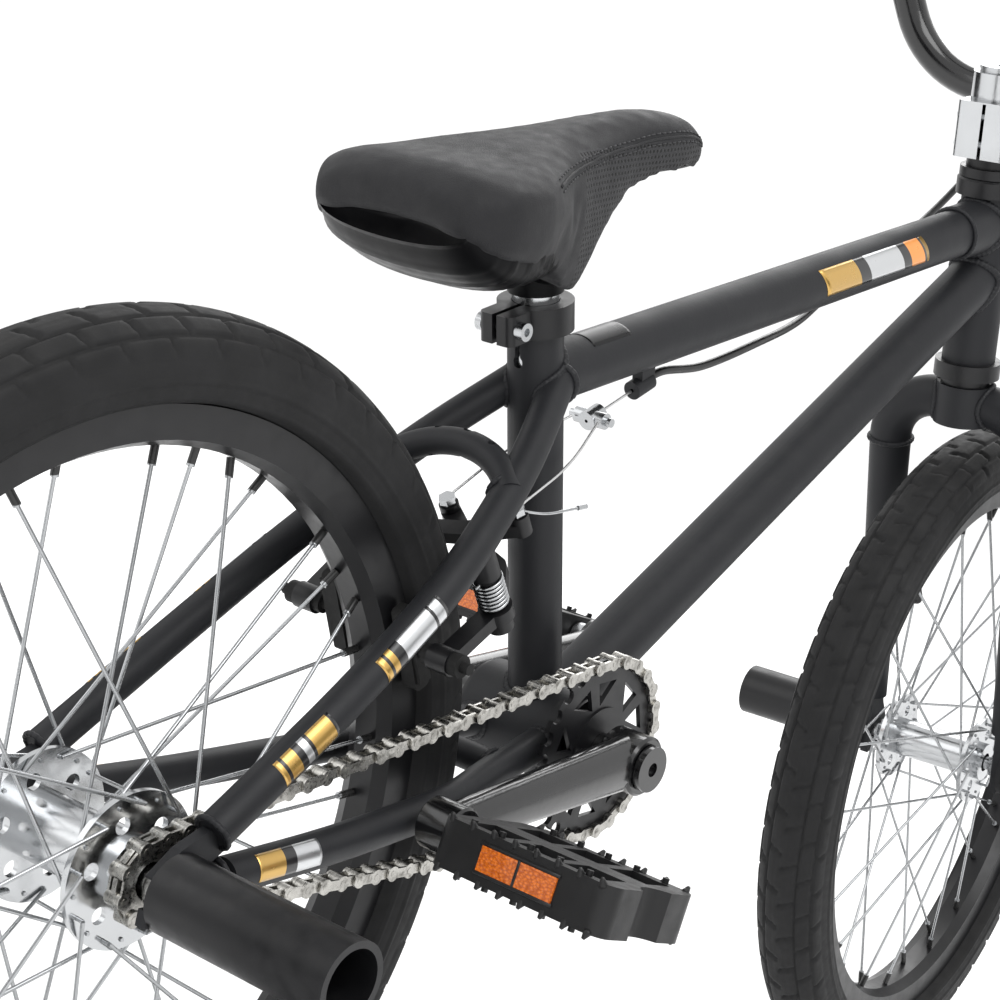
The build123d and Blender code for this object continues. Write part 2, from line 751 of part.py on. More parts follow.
def make_spindle():
    """Spindle, the spacers beside the bearings, and a round cap bolt in each end."""
    end = BOSS_OUT - 1
    spindle = across(SPINDLE_R - 0.02, -end, end)
    left = ring(13.5, SPINDLE_R - 0.02, BB_HALF + 3.3, BOSS_IN - 0.3)
    right = ring(13.5, SPINDLE_R - 0.02, -CHAINLINE + 2.65, -BB_HALF - 3.3)
    out = [CRANK * spindle, CRANK * left, CRANK * right]
    for side in (-1, 1):
        cap = across(13.0, side * (BOSS_OUT + 0.7), side * (BOSS_OUT + 4.6))
        cap = cap - across(4.0, side * (BOSS_OUT + 1.6), side * (BOSS_OUT + 6))
        stub = across(6.0, side * (end + 0.02), side * (BOSS_OUT + 0.8))
        out.append(CRANK * (cap + stub))
    return out


PEDAL_IN = 96.0
PEDAL_OUT = 198.0
PEDAL_HALF = 39.0
REFLECTOR_LONG = 44.0
REFLECTOR_HIGH = 12.0
PEDAL_THICK = 24.0


def pedal_centre(side):
    return Vector(side * CRANK_LENGTH, 0, 0)


def make_pedal_spindles():
    out = []
    for side in (-1, 1):
        centre = pedal_centre(side)
        body = across(6.98, side * (EYE_IN + 1), side * (EYE_OUT + 0.1), centre.X)
        flats = across(9.0, side * (EYE_OUT + 0.05), side * (PEDAL_IN - 1.0), centre.X)
        axle = cone(
            (centre.X, side * (PEDAL_IN - 1.02), 0), (centre.X, side * (PEDAL_OUT - 12), 0), 6.0, 4.5
        )
        out.append(CRANK * (body + flats + axle))
    return out


def pedal_place(side):
    centre = (CRANK * Pos(side * CRANK_LENGTH, 0, 0)).position
    return Pos(centre.X, 0, centre.Z) * Rot(0, PEDAL_TILT, 0)


def make_pedal(side):
    """Resin platform: a cage with a centre barrel, cross ribs and moulded pins."""
    width = PEDAL_OUT - PEDAL_IN
    mid = (PEDAL_OUT + PEDAL_IN) / 2
    outer = Box(2 * PEDAL_HALF, width, PEDAL_THICK)
    outer = fillet(outer.edges().filter_by(Axis.Z), 10)
    body = outer
    for sx in (-1, 1):
        for n in range(3):
            y = (n - 1) * 28.0
            body = body - Pos(sx * 20, y, 0) * Box(22, 22, PEDAL_THICK + 2)
    body = body - Pos(0, width / 2 + 9, 0) * Cylinder(16, PEDAL_THICK + 2)
    for sx in (-1, 1):
        for n in range(5):
            for sz in (-1, 1):
                pin = Pos(sx * 34.5, (n - 2) * 17.0, sz * (PEDAL_THICK / 2 + 1.2)) * Cylinder(1.7, 2.8)
                body = body + pin
    body = Pos(0, mid, 0) * body
    bore = cone((0, PEDAL_IN - 3, 0), (0, PEDAL_OUT - 11.9, 0), 6.1, 4.58)
    body = body - bore
    for sx in (-1, 1):
        body = body - Pos(sx * (PEDAL_HALF - 0.75), mid, 0) * Box(3.6, REFLECTOR_LONG + 0.1, REFLECTOR_HIGH + 0.1)
    body = largest(body)
    if side < 0:
        body = mirrored(body)
    return pedal_place(side) * body


def make_reflectors(side):
    mid = (PEDAL_OUT + PEDAL_IN) / 2
    out = []
    for sx in (-1, 1):
        lens = Pos(sx * (PEDAL_HALF - 0.7), side * mid, 0) * Box(3.4, REFLECTOR_LONG, REFLECTOR_HIGH)
        out.append(pedal_place(side) * lens)
    return out


# ---------------------------------------------------------- axles and pegs

def make_peg(outer_y, bore_r):
    """Left peg: hollow outer end, thick inner wall that the axle nut clamps."""
    peg = ring(PEG_R, PEG_R - 3.5, outer_y, outer_y + PEG_LENGTH)
    wall = ring(PEG_R - 3.45, bore_r, outer_y, outer_y + 9)
    return peg + wall


def make_pegs(outer_y, bore_r):
    left = make_peg(outer_y, bore_r + 0.05)
    return [left, mirrored(left)]


def make_axle(radius, inner, peg_wall):
    """Axle with cone locknuts inside the dropouts and a nut inside each peg."""
    axle = across(radius, -inner - DROPOUT_THICK - peg_wall - 14, inner + DROPOUT_THICK + peg_wall + 14)
    out = [axle]
    for side in (-1, 1):
        y0 = side * (inner + DROPOUT_THICK + peg_wall + 0.05)
        nut = Plane(origin=(0, y0, 0), z_dir=(0, side, 0)) * extrude(RegularPolygon(12.0, 6), 10)
        out.append(nut - across(radius, -300, 300))
        cone_nut = ring(radius + 3.5, radius, side * (inner - 4.5), side * (inner - 0.02))
        out.append(cone_nut)
    return out


# ----------------------------------------------------------------- front end

LEG_Y = 55.0
LEG_R = 15.0
LEG_TIP_R = 10.8
LEG_FOOT = Vector(31, 0, 20)
LEG_HEAD = Vector(8, 0, CROWN_LOW - 26)
CROWN_BEND_R = 38.0
CROWN_RISE = 40.2


def leg_point(side, share):
    """A point on a leg's centre line: share 0 at the foot, 1 where it meets the crown."""
    point = LEG_FOOT + (LEG_HEAD - LEG_FOOT) * share
    return Vector(point.X, side * LEG_Y, point.Z)


def make_fork_crown():
    """Bent tube from leg to leg through the steerer's boss."""
    corner = 1 + CROWN_RISE / (LEG_HEAD - LEG_FOOT).length
    points = [leg_point(-1, 1), leg_point(-1, corner), leg_point(1, corner), leg_point(1, 1)]
    bow = sweep_round(rounded_path(points, [CROWN_BEND_R, CROWN_BEND_R]), LEG_R)
    core = Pos(0, 0, CROWN_LOW) * Cylinder(19.5, 29, align=(Align.CENTER, Align.CENTER, Align.MIN))
    crown = core + bow
    crown = crown - Pos(0, 0, CROWN_LOW - 5) * Cylinder(STEERER_R, 40, align=(Align.CENTER, Align.CENTER, Align.MIN))
    return STEER * largest(crown)


def make_fork_legs():
    out = []
    for side in (-1, 1):
        leg = cone(leg_point(side, 0), leg_point(side, 1), LEG_TIP_R, LEG_R)
        plate = Plane.XZ * Polygon((22, -16), (46, -16), (50, 4), (42, 20), (38, 34), (22, 34), align=None)
        plate = extrude(plate, amount=3, both=True)
        inner = FRONT_INNER
        plate = Pos(0, side * (inner + 3.0), 0) * plate
        slot = across(FRONT_AXLE_R + 0.05, 200, -200, FORK_OFFSET, 0)
        slot = slot + Pos(FORK_OFFSET, 0, -12) * Box(2 * (FRONT_AXLE_R + 0.05), 400, 24)
        leg = leg + plate - slot
        leg = leg - Pos(FORK_OFFSET, side * (inner - 10), 0) * Box(80, 20, 60)
        leg = leg - Pos(FORK_OFFSET, side * (inner + 6 + 10), -2) * Box(60, 20, 44)
        out.append(STEER * largest(leg))
    return out


def make_steerer():
    low = (Align.CENTER, Align.CENTER, Align.MIN)
    tube = Cylinder(STEERER_R - 0.02, STEM_TOP - 6 - CROWN_LOW, align=low)
    bore = Cylinder(STEERER_R - 2.5, STEM_TOP, align=low)
    return STEER * Pos(0, 0, CROWN_LOW) * (tube - bore)


def make_stem():
    low = (Align.CENTER, Align.CENTER, Align.MIN)
    height = STEM_TOP - STEM_LOW
    collar = Pos(0, 0, STEM_LOW) * Cylinder(20.5, height, align=low)
    ears = Pos(-17, 0, STEM_LOW + 19) * Box(22, 40, 38)
    ears = fillet(ears.edges().filter_by(Axis.Z), 5)
    neck = Pos(BAR_REACH / 2, 0, BAR_HEIGHT - 8) * Box(BAR_REACH, 34, 32)
    clamp = rod((BAR_REACH, -26, BAR_HEIGHT), (BAR_REACH, 26, BAR_HEIGHT), 19.5)
    body = collar + ears + neck + clamp
    body = body - Pos(0, 0, STEM_LOW - 1) * Cylinder(STEERER_R + 0.02, height - 5, align=low)
    body = body - Pos(0, 0, STEM_LOW + 20) * Cylinder(4.0, height, align=low)
    body = body - rod((BAR_REACH, -60, BAR_HEIGHT), (BAR_REACH, 60, BAR_HEIGHT), BAR_R + 0.02)
    body = body - Pos(-22, 0, STEM_LOW + 15) * Box(30, 2.4, 44)
    body = body - Pos(BAR_REACH + 26.5, 0, BAR_HEIGHT) * Box(50, 60, 60)
    for z in STEM_BOLT_Z:
        body = body - rod((-22, -30, z), (-22, 30, z), 3.0)
    for y in (-18, 18):
        for z in (-15.5, 15.5):
            body = body - rod((BAR_REACH - 12, y, BAR_HEIGHT + z), (BAR_REACH + 30, y, BAR_HEIGHT + z), 2.5)
    return STEER * largest(body)


STEM_BOLT_Z = (STEM_LOW + 9, STEM_LOW + 28)


def make_faceplate():
    plate = rod((BAR_REACH, -26, BAR_HEIGHT), (BAR_REACH, 26, BAR_HEIGHT), 19.5)
    plate = plate - Pos(BAR_REACH - 23, 0, BAR_HEIGHT) * Box(50, 60, 60)
    plate = plate - rod((BAR_REACH, -60, BAR_HEIGHT), (BAR_REACH, 60, BAR_HEIGHT), BAR_R + 0.02)
    for y in (-18, 18):
        for z in (-15.5, 15.5):
            plate = plate - rod((BAR_REACH, y, BAR_HEIGHT + z), (BAR_REACH + 30, y, BAR_HEIGHT + z), 2.95)
            plate = plate - rod((BAR_REACH + 11.5, y, BAR_HEIGHT + z), (BAR_REACH + 30, y, BAR_HEIGHT + z), 4.5)
    return STEER * largest(plate)


def make_stem_bolts():
    bolts = []
    for z in STEM_BOLT_Z:
        bolt = rod((-22, -23.05, z), (-22, 20, z), 2.9) + rod((-22, -24.5, z), (-22, -20.05, z), 4.8)
        bolts.append(STEER * (bolt - rod((-22, -26, z), (-22, -22, z), 2.2)))
    for y in (-18, 18):
        for z in (-15.5, 15.5):
            high = BAR_HEIGHT + z
            bolt = rod((BAR_REACH - 11, y, high), (BAR_REACH + 14, y, high), 2.45)
            head = rod((BAR_REACH + 11.6, y, high), (BAR_REACH + 17, y, high), 4.4)
            socket = rod((BAR_REACH + 14.5, y, high), (BAR_REACH + 21, y, high), 2.0)
            bolts.append(STEER * (bolt + head - socket))
    cap = Pos(0, 0, STEM_TOP + 0.05) * Cylinder(16.5, 4, align=(Align.CENTER, Align.CENTER, Align.MIN))
    cap = cap - Pos(0, 0, STEM_TOP + 2) * Cylinder(5.2, 6, align=(Align.CENTER, Align.CENTER, Align.MIN))
    bolts.append(STEER * cap)
    return bolts


def bar_points():
    """Right half of the bar's centre line in the steering frame, from the middle outwards."""
    leg = radians(BAR_LEG_ANGLE)
    knee_y = BAR_FLAT_HALF + BAR_BEND_R * tan(leg / 2)
    shoulder_y = knee_y + BAR_RISE / tan(leg)
    tip_y = BAR_HALF
    run = tip_y - shoulder_y
    sweep_back = run * tan(radians(BAR_BACKSWEEP))
    lift = run * tan(radians(BAR_UPSWEEP))
    return [
        Vector(BAR_REACH, -knee_y, BAR_HEIGHT),
        Vector(BAR_REACH, -shoulder_y, BAR_HEIGHT + BAR_RISE),
        Vector(BAR_REACH - sweep_back, -tip_y, BAR_HEIGHT + BAR_RISE + lift),
    ]


def flip(point):
    return Vector(point.X, -point.Y, point.Z)


def make_handlebar():
    knee, shoulder, tip = bar_points()
    points = [tip, shoulder, knee, flip(knee), flip(shoulder), flip(tip)]
    path = rounded_path(points, [BAR_TOP_BEND_R, BAR_BEND_R, BAR_BEND_R, BAR_TOP_BEND_R])
    bar = sweep_round(path, BAR_R)
    bore = sweep_round(path, BAR_R - 1.8)
    return STEER * (bar - bore)


def crossbar_end():
    leg = radians(BAR_LEG_ANGLE)
    knee_y = BAR_FLAT_HALF + BAR_BEND_R * tan(leg / 2)
    return knee_y + CROSSBAR_RISE / tan(leg)


def make_crossbar():
    high = BAR_HEIGHT + CROSSBAR_RISE
    end = crossbar_end()
    bar = rod((BAR_REACH, -end, high), (BAR_REACH, end, high), 8.0)
    knee, shoulder, tip = bar_points()
    for a, b in ((knee, shoulder), (flip(knee), flip(shoulder))):
        bar = bar - rod(a, b, BAR_R)
    return STEER * largest(bar)


GRIP_LENGTH = 128.0


def tip_axis(side):
    knee, shoulder, tip = bar_points()
    if side > 0:
        shoulder, tip = flip(shoulder), flip(tip)
    inward = (shoulder - tip).normalized()
    return tip, inward


def make_grips():
    out = []
    for side in (-1, 1):
        tip, inward = tip_axis(side)
        start = tip - inward * 4
        end = tip + inward * (GRIP_LENGTH - 4)
        grip = rod(start, end, 15.5) + rod(end - inward * 4, end, 21.0)
        grip = grip - rod(tip - inward * 0.05, end + inward, BAR_R + 0.03)
        out.append(STEER * grip)
    return out


# ----------------------------------------------------------------- rear brake

# The brake's own frame: X runs up along the seat stays, Z points back at them.
BRAKE = Pos(-265.7, 0, 351.7) * Rot(0, -39.7, 0)
STAY_ABOVE = 38.0
PIVOT_T = 40.0
PIVOT_Y = 47.0
SHOE_T = -0.5
SHOE_GAP = 2.4
ARM_THICK = 7.0
ARM_LAYER = 4.3
ANCHOR_T = 92.0
ANCHOR_Y = 25.0
YOKE = Vector(-120, 0, 471)
CABLE_STOP = Vector(-80, 0, 492.5)


def layer(side):
    """Arms cross over the tyre, so each lies in its own layer."""
    return side * ARM_LAYER


def make_brake_studs():
    out = []
    for side in (-1, 1):
        y = side * PIVOT_Y
        boss = rod((PIVOT_T, y, 20), (PIVOT_T, y, STAY_ABOVE), 7.5)
        boss = boss + rod((PIVOT_T, y, -12), (PIVOT_T, y, 21), STUD_R)
        boss = BRAKE * boss
        right = stay(SEAT_STAY)
        boss = largest(boss - (right if side < 0 else mirrored(right)))
        out.append(boss)
        low = layer(side) - ARM_THICK / 2
        head = rod((PIVOT_T, y, -15), (PIVOT_T, y, low - 0.3), 7.0) - rod((PIVOT_T, y, -20), (PIVOT_T, y, 0), STUD_R)
        out.append(BRAKE * head)
        coil_low = layer(side) + ARM_THICK / 2 + 1.0
        coil = rod((PIVOT_T, y, coil_low), (PIVOT_T, y, 19.0), 6.6) - rod((PIVOT_T, y, 0), (PIVOT_T, y, 20), 5.2)
        out.append(BRAKE * coil)
    return out


STUD_R = 4.0


def make_brake_arm(side):
    """Curved arm: shoe end beside the rim, pivot eye, then over the tyre to the far side."""
    high = layer(side)
    points = [
        (SHOE_T, side * 45), (PIVOT_T, side * PIVOT_Y), (66, side * 27), (75, 0), (ANCHOR_T, -side * ANCHOR_Y),
    ]
    low = high - ARM_THICK / 2
    top = high + ARM_THICK / 2
    arm = slab(points, 5.5, low, top)
    arm = arm + rod((PIVOT_T, side * PIVOT_Y, low), (PIVOT_T, side * PIVOT_Y, top), 9.0)
    arm = arm + rod((SHOE_T, side * 38, high), (SHOE_T, side * 51, high), 7.0)
    arm = arm + rod((ANCHOR_T, -side * ANCHOR_Y, low - 1), (ANCHOR_T, -side * ANCHOR_Y, top + 4), 5.5)
    arm = arm - rod((PIVOT_T, side * PIVOT_Y, -40), (PIVOT_T, side * PIVOT_Y, 40), STUD_R + 0.05)
    arm = arm - rod((SHOE_T, side * 20, high), (SHOE_T, side * 70, high), 3.05)
    return BRAKE * largest(arm)


def make_brake_shoe(side):
    """Pad, holder, threaded post and nut, facing the rim's side wall."""
    high = layer(side)
    inner = RIM_HALF + SHOE_GAP
    pad_turn = Rot(0, 9, 0)
    pad = Box(10, 9, 48)
    pad = fillet(pad.edges().filter_by(Axis.Y), 3)
    holder = Pos(0, 5.9, 0) * Box(8, 3, 38)
    shoe = Pos(SHOE_T, inner + 4.5, high) * pad_turn * (pad + holder)
    shoe = shoe + rod((SHOE_T, inner + 10, high), (SHOE_T, 62, high), 3.0)
    shoe = shoe + rod((SHOE_T, 51.1, high), (SHOE_T, 57, high), 6.0)
    shoe = shoe + rod((SHOE_T, 33.5, high), (SHOE_T, 37.9, high), 5.5)
    if side < 0:
        shoe = mirrored(shoe)
    return BRAKE * shoe


def anchor(side):
    """Where a straddle wire is pinched; side is the side of the bicycle it is on."""
    high = layer(-side)
    place = BRAKE * Pos(ANCHOR_T, side * ANCHOR_Y, high + ARM_THICK / 2 + 5.4)
    return place.position


def make_brake_yoke():
    """Triangular carrier on the straddle wires with two pinch bolts."""
    direction = (CABLE_STOP - YOKE).normalized()
    body = rod(YOKE - direction * 5, YOKE + direction * 7, 5.5)
    bar = rod(YOKE + Vector(0, -10, 0), YOKE + Vector(0, 10, 0), 4.6)
    bolt = rod(YOKE + Vector(0, -14, 0), YOKE + Vector(0, 14, 0), 2.5)
    body = body + bar + bolt
    return body - rod(YOKE - direction * 20, YOKE + direction * 20, 1.0)


def make_brake_wires():
    """Inner wire from the cable stop to the yoke, and a straddle wire on each side of the seat tube."""
    direction = (CABLE_STOP - YOKE).normalized()
    wires = [rod(YOKE + direction * 7.1, CABLE_STOP - direction * 9, 0.8)]
    for side in (-1, 1):
        end = anchor(side)
        start = YOKE + Vector(-6.5, side * 9, -1.5)
        beside = Vector(-160, side * 21, 447)
        path = bent_path([start, beside, end + Vector(3, 0, 5), end + Vector(0, 0, 1)])
        wires.append(sweep_round(path, 0.8))
    return wires


def make_cable_stop():
    direction = (CABLE_STOP - YOKE).normalized()
    body = rod(CABLE_STOP - direction * 8, CABLE_STOP + direction * 8, 5.5)
    lug = Pos(CABLE_STOP.X, 0, CABLE_STOP.Z + 9) * Rot(0, -TOP_TUBE_ANGLE, 0) * Box(12, 7, 18)
    stop = body + lug - rod(TOP_START, TOP_START + TOP_DIR * TOP_LENGTH, TOP_TUBE_R)
    stop = largest(stop)
    stop = stop - rod(CABLE_STOP - direction * 20, CABLE_STOP + direction * 20, 1.2)
    return stop - rod(CABLE_STOP - direction * 2, CABLE_STOP + direction * 20, 3.6)


def lever_frame():
    """Frame on the right grip axis: X outwards along the bar, Y forward, Z up."""
    tip, inward = tip_axis(-1)
    clamp = tip + inward * (GRIP_LENGTH + 14)
    outward = inward * -1
    forward = Vector(1, 0, 0)
    up = forward.cross(outward)
    if up.Z < 0:
        up = up * -1
    forward = outward.cross(up)
    if forward.X < 0:
        forward = forward * -1
    return Plane(origin=clamp, x_dir=outward, z_dir=outward.cross(forward)), outward, forward


def lever_point(out, ahead, up):
    plane, outward, forward = lever_frame()
    high = Vector(0, 0, 1)
    return plane.origin + outward * out + forward * ahead + high * up


def make_lever_bracket():
    body = rod(lever_point(-9, 0, 0), lever_point(9, 0, 0), 15.5)
    arm = rod(lever_point(0, 10, 0), lever_point(-6, 30, 0), 7.0)
    barrel = rod(lever_point(-10, 29, 0), lever_point(-34, 24, 0), 4.6)
    body = body + arm + barrel
    eye = lever_point(-2, 33, 0)
    body = body + rod(eye - Vector(0, 0, 8), eye + Vector(0, 0, 8), 6.0)
    body = body - rod(eye - Vector(0, 0, 3.6), eye + Vector(0, 0, 3.6), 11.0)
    body = body - rod(lever_point(-20, 0, 0), lever_point(20, 0, 0), BAR_R + 0.03)
    body = largest(body) + rod(eye - Vector(0, 0, 9), eye + Vector(0, 0, 9), 2.5)
    return STEER * body


def make_lever():
    """Two-finger blade turning on the bracket's pin."""
    eye = lever_point(-2, 33, 0)
    points = [
        eye, lever_point(22, 42, -1), lever_point(52, 45, -2), lever_point(86, 47, -3), lever_point(100, 51, -3),
    ]
    blade = sweep_round(bent_path(points), 3.2)
    blade = blade + rod(eye - Vector(0, 0, 3.3), eye + Vector(0, 0, 3.3), 7.0)
    end = lever_point(101, 51.4, -3)
    blade = blade + Pos(end.X, end.Y, end.Z) * Sphere(4.6)
    blade = blade - rod(eye - Vector(0, 0, 20), eye + Vector(0, 0, 20), 2.55)
    return STEER * largest(blade)


def steer_world(point):
    return (STEER * Pos(point.X, point.Y, point.Z)).position


def housing_route():
    """Brake housing: under the top tube, past the left of the head tube, up in front of the bars."""
    direction = (CABLE_STOP - YOKE).normalized()
    lever_end = steer_world(lever_point(-35, 24, 0))
    lever_next = steer_world(lever_point(-62, 20, -6))
    return [
        CABLE_STOP + direction * -1.5, CABLE_STOP + direction * 20,
        Vector(-20, 0, 509), Vector(40, 3, 528), Vector(100, 14, 545), Vector(165, 29, 572),
        Vector(235, 37, 603), Vector(300, 43, 640), Vector(352, 38, 690), Vector(392, 20, 745),
        Vector(402, -20, 810), Vector(385, -80, 868), lever_next, lever_end,
    ]


def make_housing():
    return sweep_round(bent_path(housing_route()), 2.5)


def main():
    save("head_tube", make_head_tube())
    save("seat_tube", make_seat_tube())
    save("bb_shell", make_bb_shell())
    save("top_tube", make_top_tube())
    save("down_tube", make_down_tube())
    save("seat_stays", make_seat_stays())
    save("chain_stays", make_chain_stays())
    save("dropouts", make_dropouts())
    save("headset_cups", make_headset_cups())
    save("headset_top", make_headset_top())
    save("bb_bearings", make_bb_bearings())
    save("seat_clamp", make_seat_clamp())
    save("seat_clamp_bolt", make_seat_clamp_bolt())
    save("seatpost", make_seatpost())
    shell, pad = make_saddle()
    save("saddle_shell", shell)
    save("saddle_pad", pad)

    rear = Pos(REAR.X, 0, REAR.Z)
    front = STEER * Pos(FORK_OFFSET, 0, 0)
    for name, place, flange_r, flange_y, shell_r, bore_r, half in (
        ("rear", rear, 33.0, REAR_FLANGE_Y, 17.0, 9.0, 36.0),
        ("front", front, 28.0, FRONT_FLANGE_Y, 14.0, 7.0, 40.0),
    ):
        spin = Rot(0, VALVE_ANGLE[name], 0)
        save(f"{name}_tyre", place * make_tyre())
        save(f"{name}_rim", place * spin * make_rim())
        save(f"{name}_tube", [place * spin * s for s in make_inner_tube()])
        save(f"{name}_spokes", [place * spin * s for s in make_spokes(flange_r, flange_y)])
        save(f"{name}_hub", place * spin * make_hub(flange_r, flange_y, shell_r, bore_r, half))
    save("driver_cog", clear_rollers(at(REAR, make_cog()), REAR, COG_R))
    save("rear_axle", [at(REAR, s) for s in make_axle(REAR_AXLE_R, DROPOUT_INNER, 9.0)])
    save("rear_pegs", [at(REAR, s) for s in make_pegs(DROPOUT_INNER + DROPOUT_THICK, REAR_AXLE_R)])
    save("front_axle", [front * s for s in make_axle(FRONT_AXLE_R, FRONT_INNER, 9.0)])
    save("front_pegs", [front * s for s in make_pegs(FRONT_INNER + DROPOUT_THICK, FRONT_AXLE_R)])

    save("chain", make_chain())
    save("chainring", clear_rollers(CRANK * make_chainring(), BB, RING_R))
    save("crank_arms", make_crank_arms())
    save("crank_spindle", make_spindle())
    save("pedal_spindles", make_pedal_spindles())
    for name, side in (("right", -1), ("left", 1)):
        save(f"pedal_{name}", make_pedal(side))
        save(f"pedal_{name}_reflectors", make_reflectors(side))

    save("fork_crown", make_fork_crown())
    save("fork_legs", make_fork_legs())
    save("fork_steerer", make_steerer())
    save("stem", make_stem())
    save("stem_faceplate", make_faceplate())
    save("stem_bolts", make_stem_bolts())
    save("handlebar", make_handlebar())
    save("crossbar", make_crossbar())
    save("grips", make_grips())

    save("brake_studs", make_brake_studs())
    save("cable_stop", make_cable_stop())
    save("brake_yoke", make_brake_yoke())
    save("brake_wires", make_brake_wires())
    save("brake_housing", make_housing())
    for name, side in (("right", -1), ("left", 1)):
        save(f"brake_arm_{name}", make_brake_arm(side))
        save(f"brake_shoe_{name}", make_brake_shoe(side))
    save("lever_bracket", make_lever_bracket())
    save("brake_lever", make_lever())


main()
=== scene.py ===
import json
from math import cos, degrees, pi, radians, sin, sqrt, tan

import bmesh
import bpy
from mathutils import Matrix, Vector, noise
from mathutils.bvhtree import BVHTree


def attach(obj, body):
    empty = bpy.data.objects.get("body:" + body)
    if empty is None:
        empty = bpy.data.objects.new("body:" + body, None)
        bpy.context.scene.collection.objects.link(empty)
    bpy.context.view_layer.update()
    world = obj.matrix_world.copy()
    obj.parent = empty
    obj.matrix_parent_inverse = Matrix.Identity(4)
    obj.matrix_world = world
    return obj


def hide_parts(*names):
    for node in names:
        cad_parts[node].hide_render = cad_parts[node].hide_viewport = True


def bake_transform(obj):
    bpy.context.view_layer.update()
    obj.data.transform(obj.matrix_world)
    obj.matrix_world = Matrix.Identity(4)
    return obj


# Freestyle BMX bicycle: finishes, welds, tyres, saddle, pedals, cable and decals around the CAD.
# Metres, X forward, Y to the rider's left, Z up, origin on the ground.

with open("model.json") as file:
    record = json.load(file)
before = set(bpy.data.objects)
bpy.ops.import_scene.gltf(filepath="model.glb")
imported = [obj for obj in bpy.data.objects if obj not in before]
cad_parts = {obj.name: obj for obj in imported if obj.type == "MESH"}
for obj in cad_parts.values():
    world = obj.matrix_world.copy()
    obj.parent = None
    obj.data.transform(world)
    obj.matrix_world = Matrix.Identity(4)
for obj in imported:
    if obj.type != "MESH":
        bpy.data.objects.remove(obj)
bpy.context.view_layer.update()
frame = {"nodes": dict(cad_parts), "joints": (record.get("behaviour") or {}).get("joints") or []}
NODES = frame["nodes"]
JOINTS = {joint["name"]: joint for joint in frame["joints"]}
MM = 0.001
HANDS = ((-1, "right"), (1, "left"))


def joint_place(name):
    return Vector(JOINTS[name]["pos_m"])


def joint_axis(name):
    return Vector(JOINTS[name]["axis"]).normalized()


UP = Vector((0, 0, 1))
LEFT = Vector((0, 1, 0))
REAR = joint_place("rear_wheel_spin")
FRONT = joint_place("front_wheel_spin")
BB = joint_place("crank_spin")
STEER_FOOT = joint_place("steering_turn")
HEAD_DIR = joint_axis("steering_turn")
SEAT_DIR = joint_axis("seat_slide")
STEER_LEFT = joint_axis("front_wheel_spin")
STEER_AHEAD = STEER_LEFT.cross(HEAD_DIR).normalized()

# Tubes, as in the frame: radius and line of each
SEAT_TUBE_R = 15.1 * MM
TOP_TUBE_R = 16.2 * MM
TOP_TUBE_ANGLE = radians(17.4)
TOP_TUBE_JOIN = 208.8 * MM
DOWN_TUBE_R = 17.6 * MM
DOWN_TUBE_ANGLE = radians(37.2)
HEAD_R = 18.6 * MM
BB_R = 28 * MM
STAY_R = 9.2 * MM
TOP_START = BB + SEAT_DIR * TOP_TUBE_JOIN
TOP_DIR = Vector((cos(TOP_TUBE_ANGLE), 0, sin(TOP_TUBE_ANGLE)))
DOWN_DIR = Vector((cos(DOWN_TUBE_ANGLE), 0, sin(DOWN_TUBE_ANGLE)))


def meets_head(start, direction):
    """Distance along a tube to the steering axis."""
    gap = STEER_FOOT - start
    crossed = direction.x * HEAD_DIR.z - direction.z * HEAD_DIR.x
    return (gap.x * HEAD_DIR.z - gap.z * HEAD_DIR.x) / crossed


TOP_LENGTH = meets_head(TOP_START, TOP_DIR)
DOWN_LENGTH = meets_head(BB, DOWN_DIR)
COLLAR_START = TOP_LENGTH - 46 * MM


def steered(ahead, left, high):
    """A point given in the steering frame, in metres."""
    return STEER_FOOT + STEER_AHEAD * ahead + STEER_LEFT * left + HEAD_DIR * high


# ---- materials

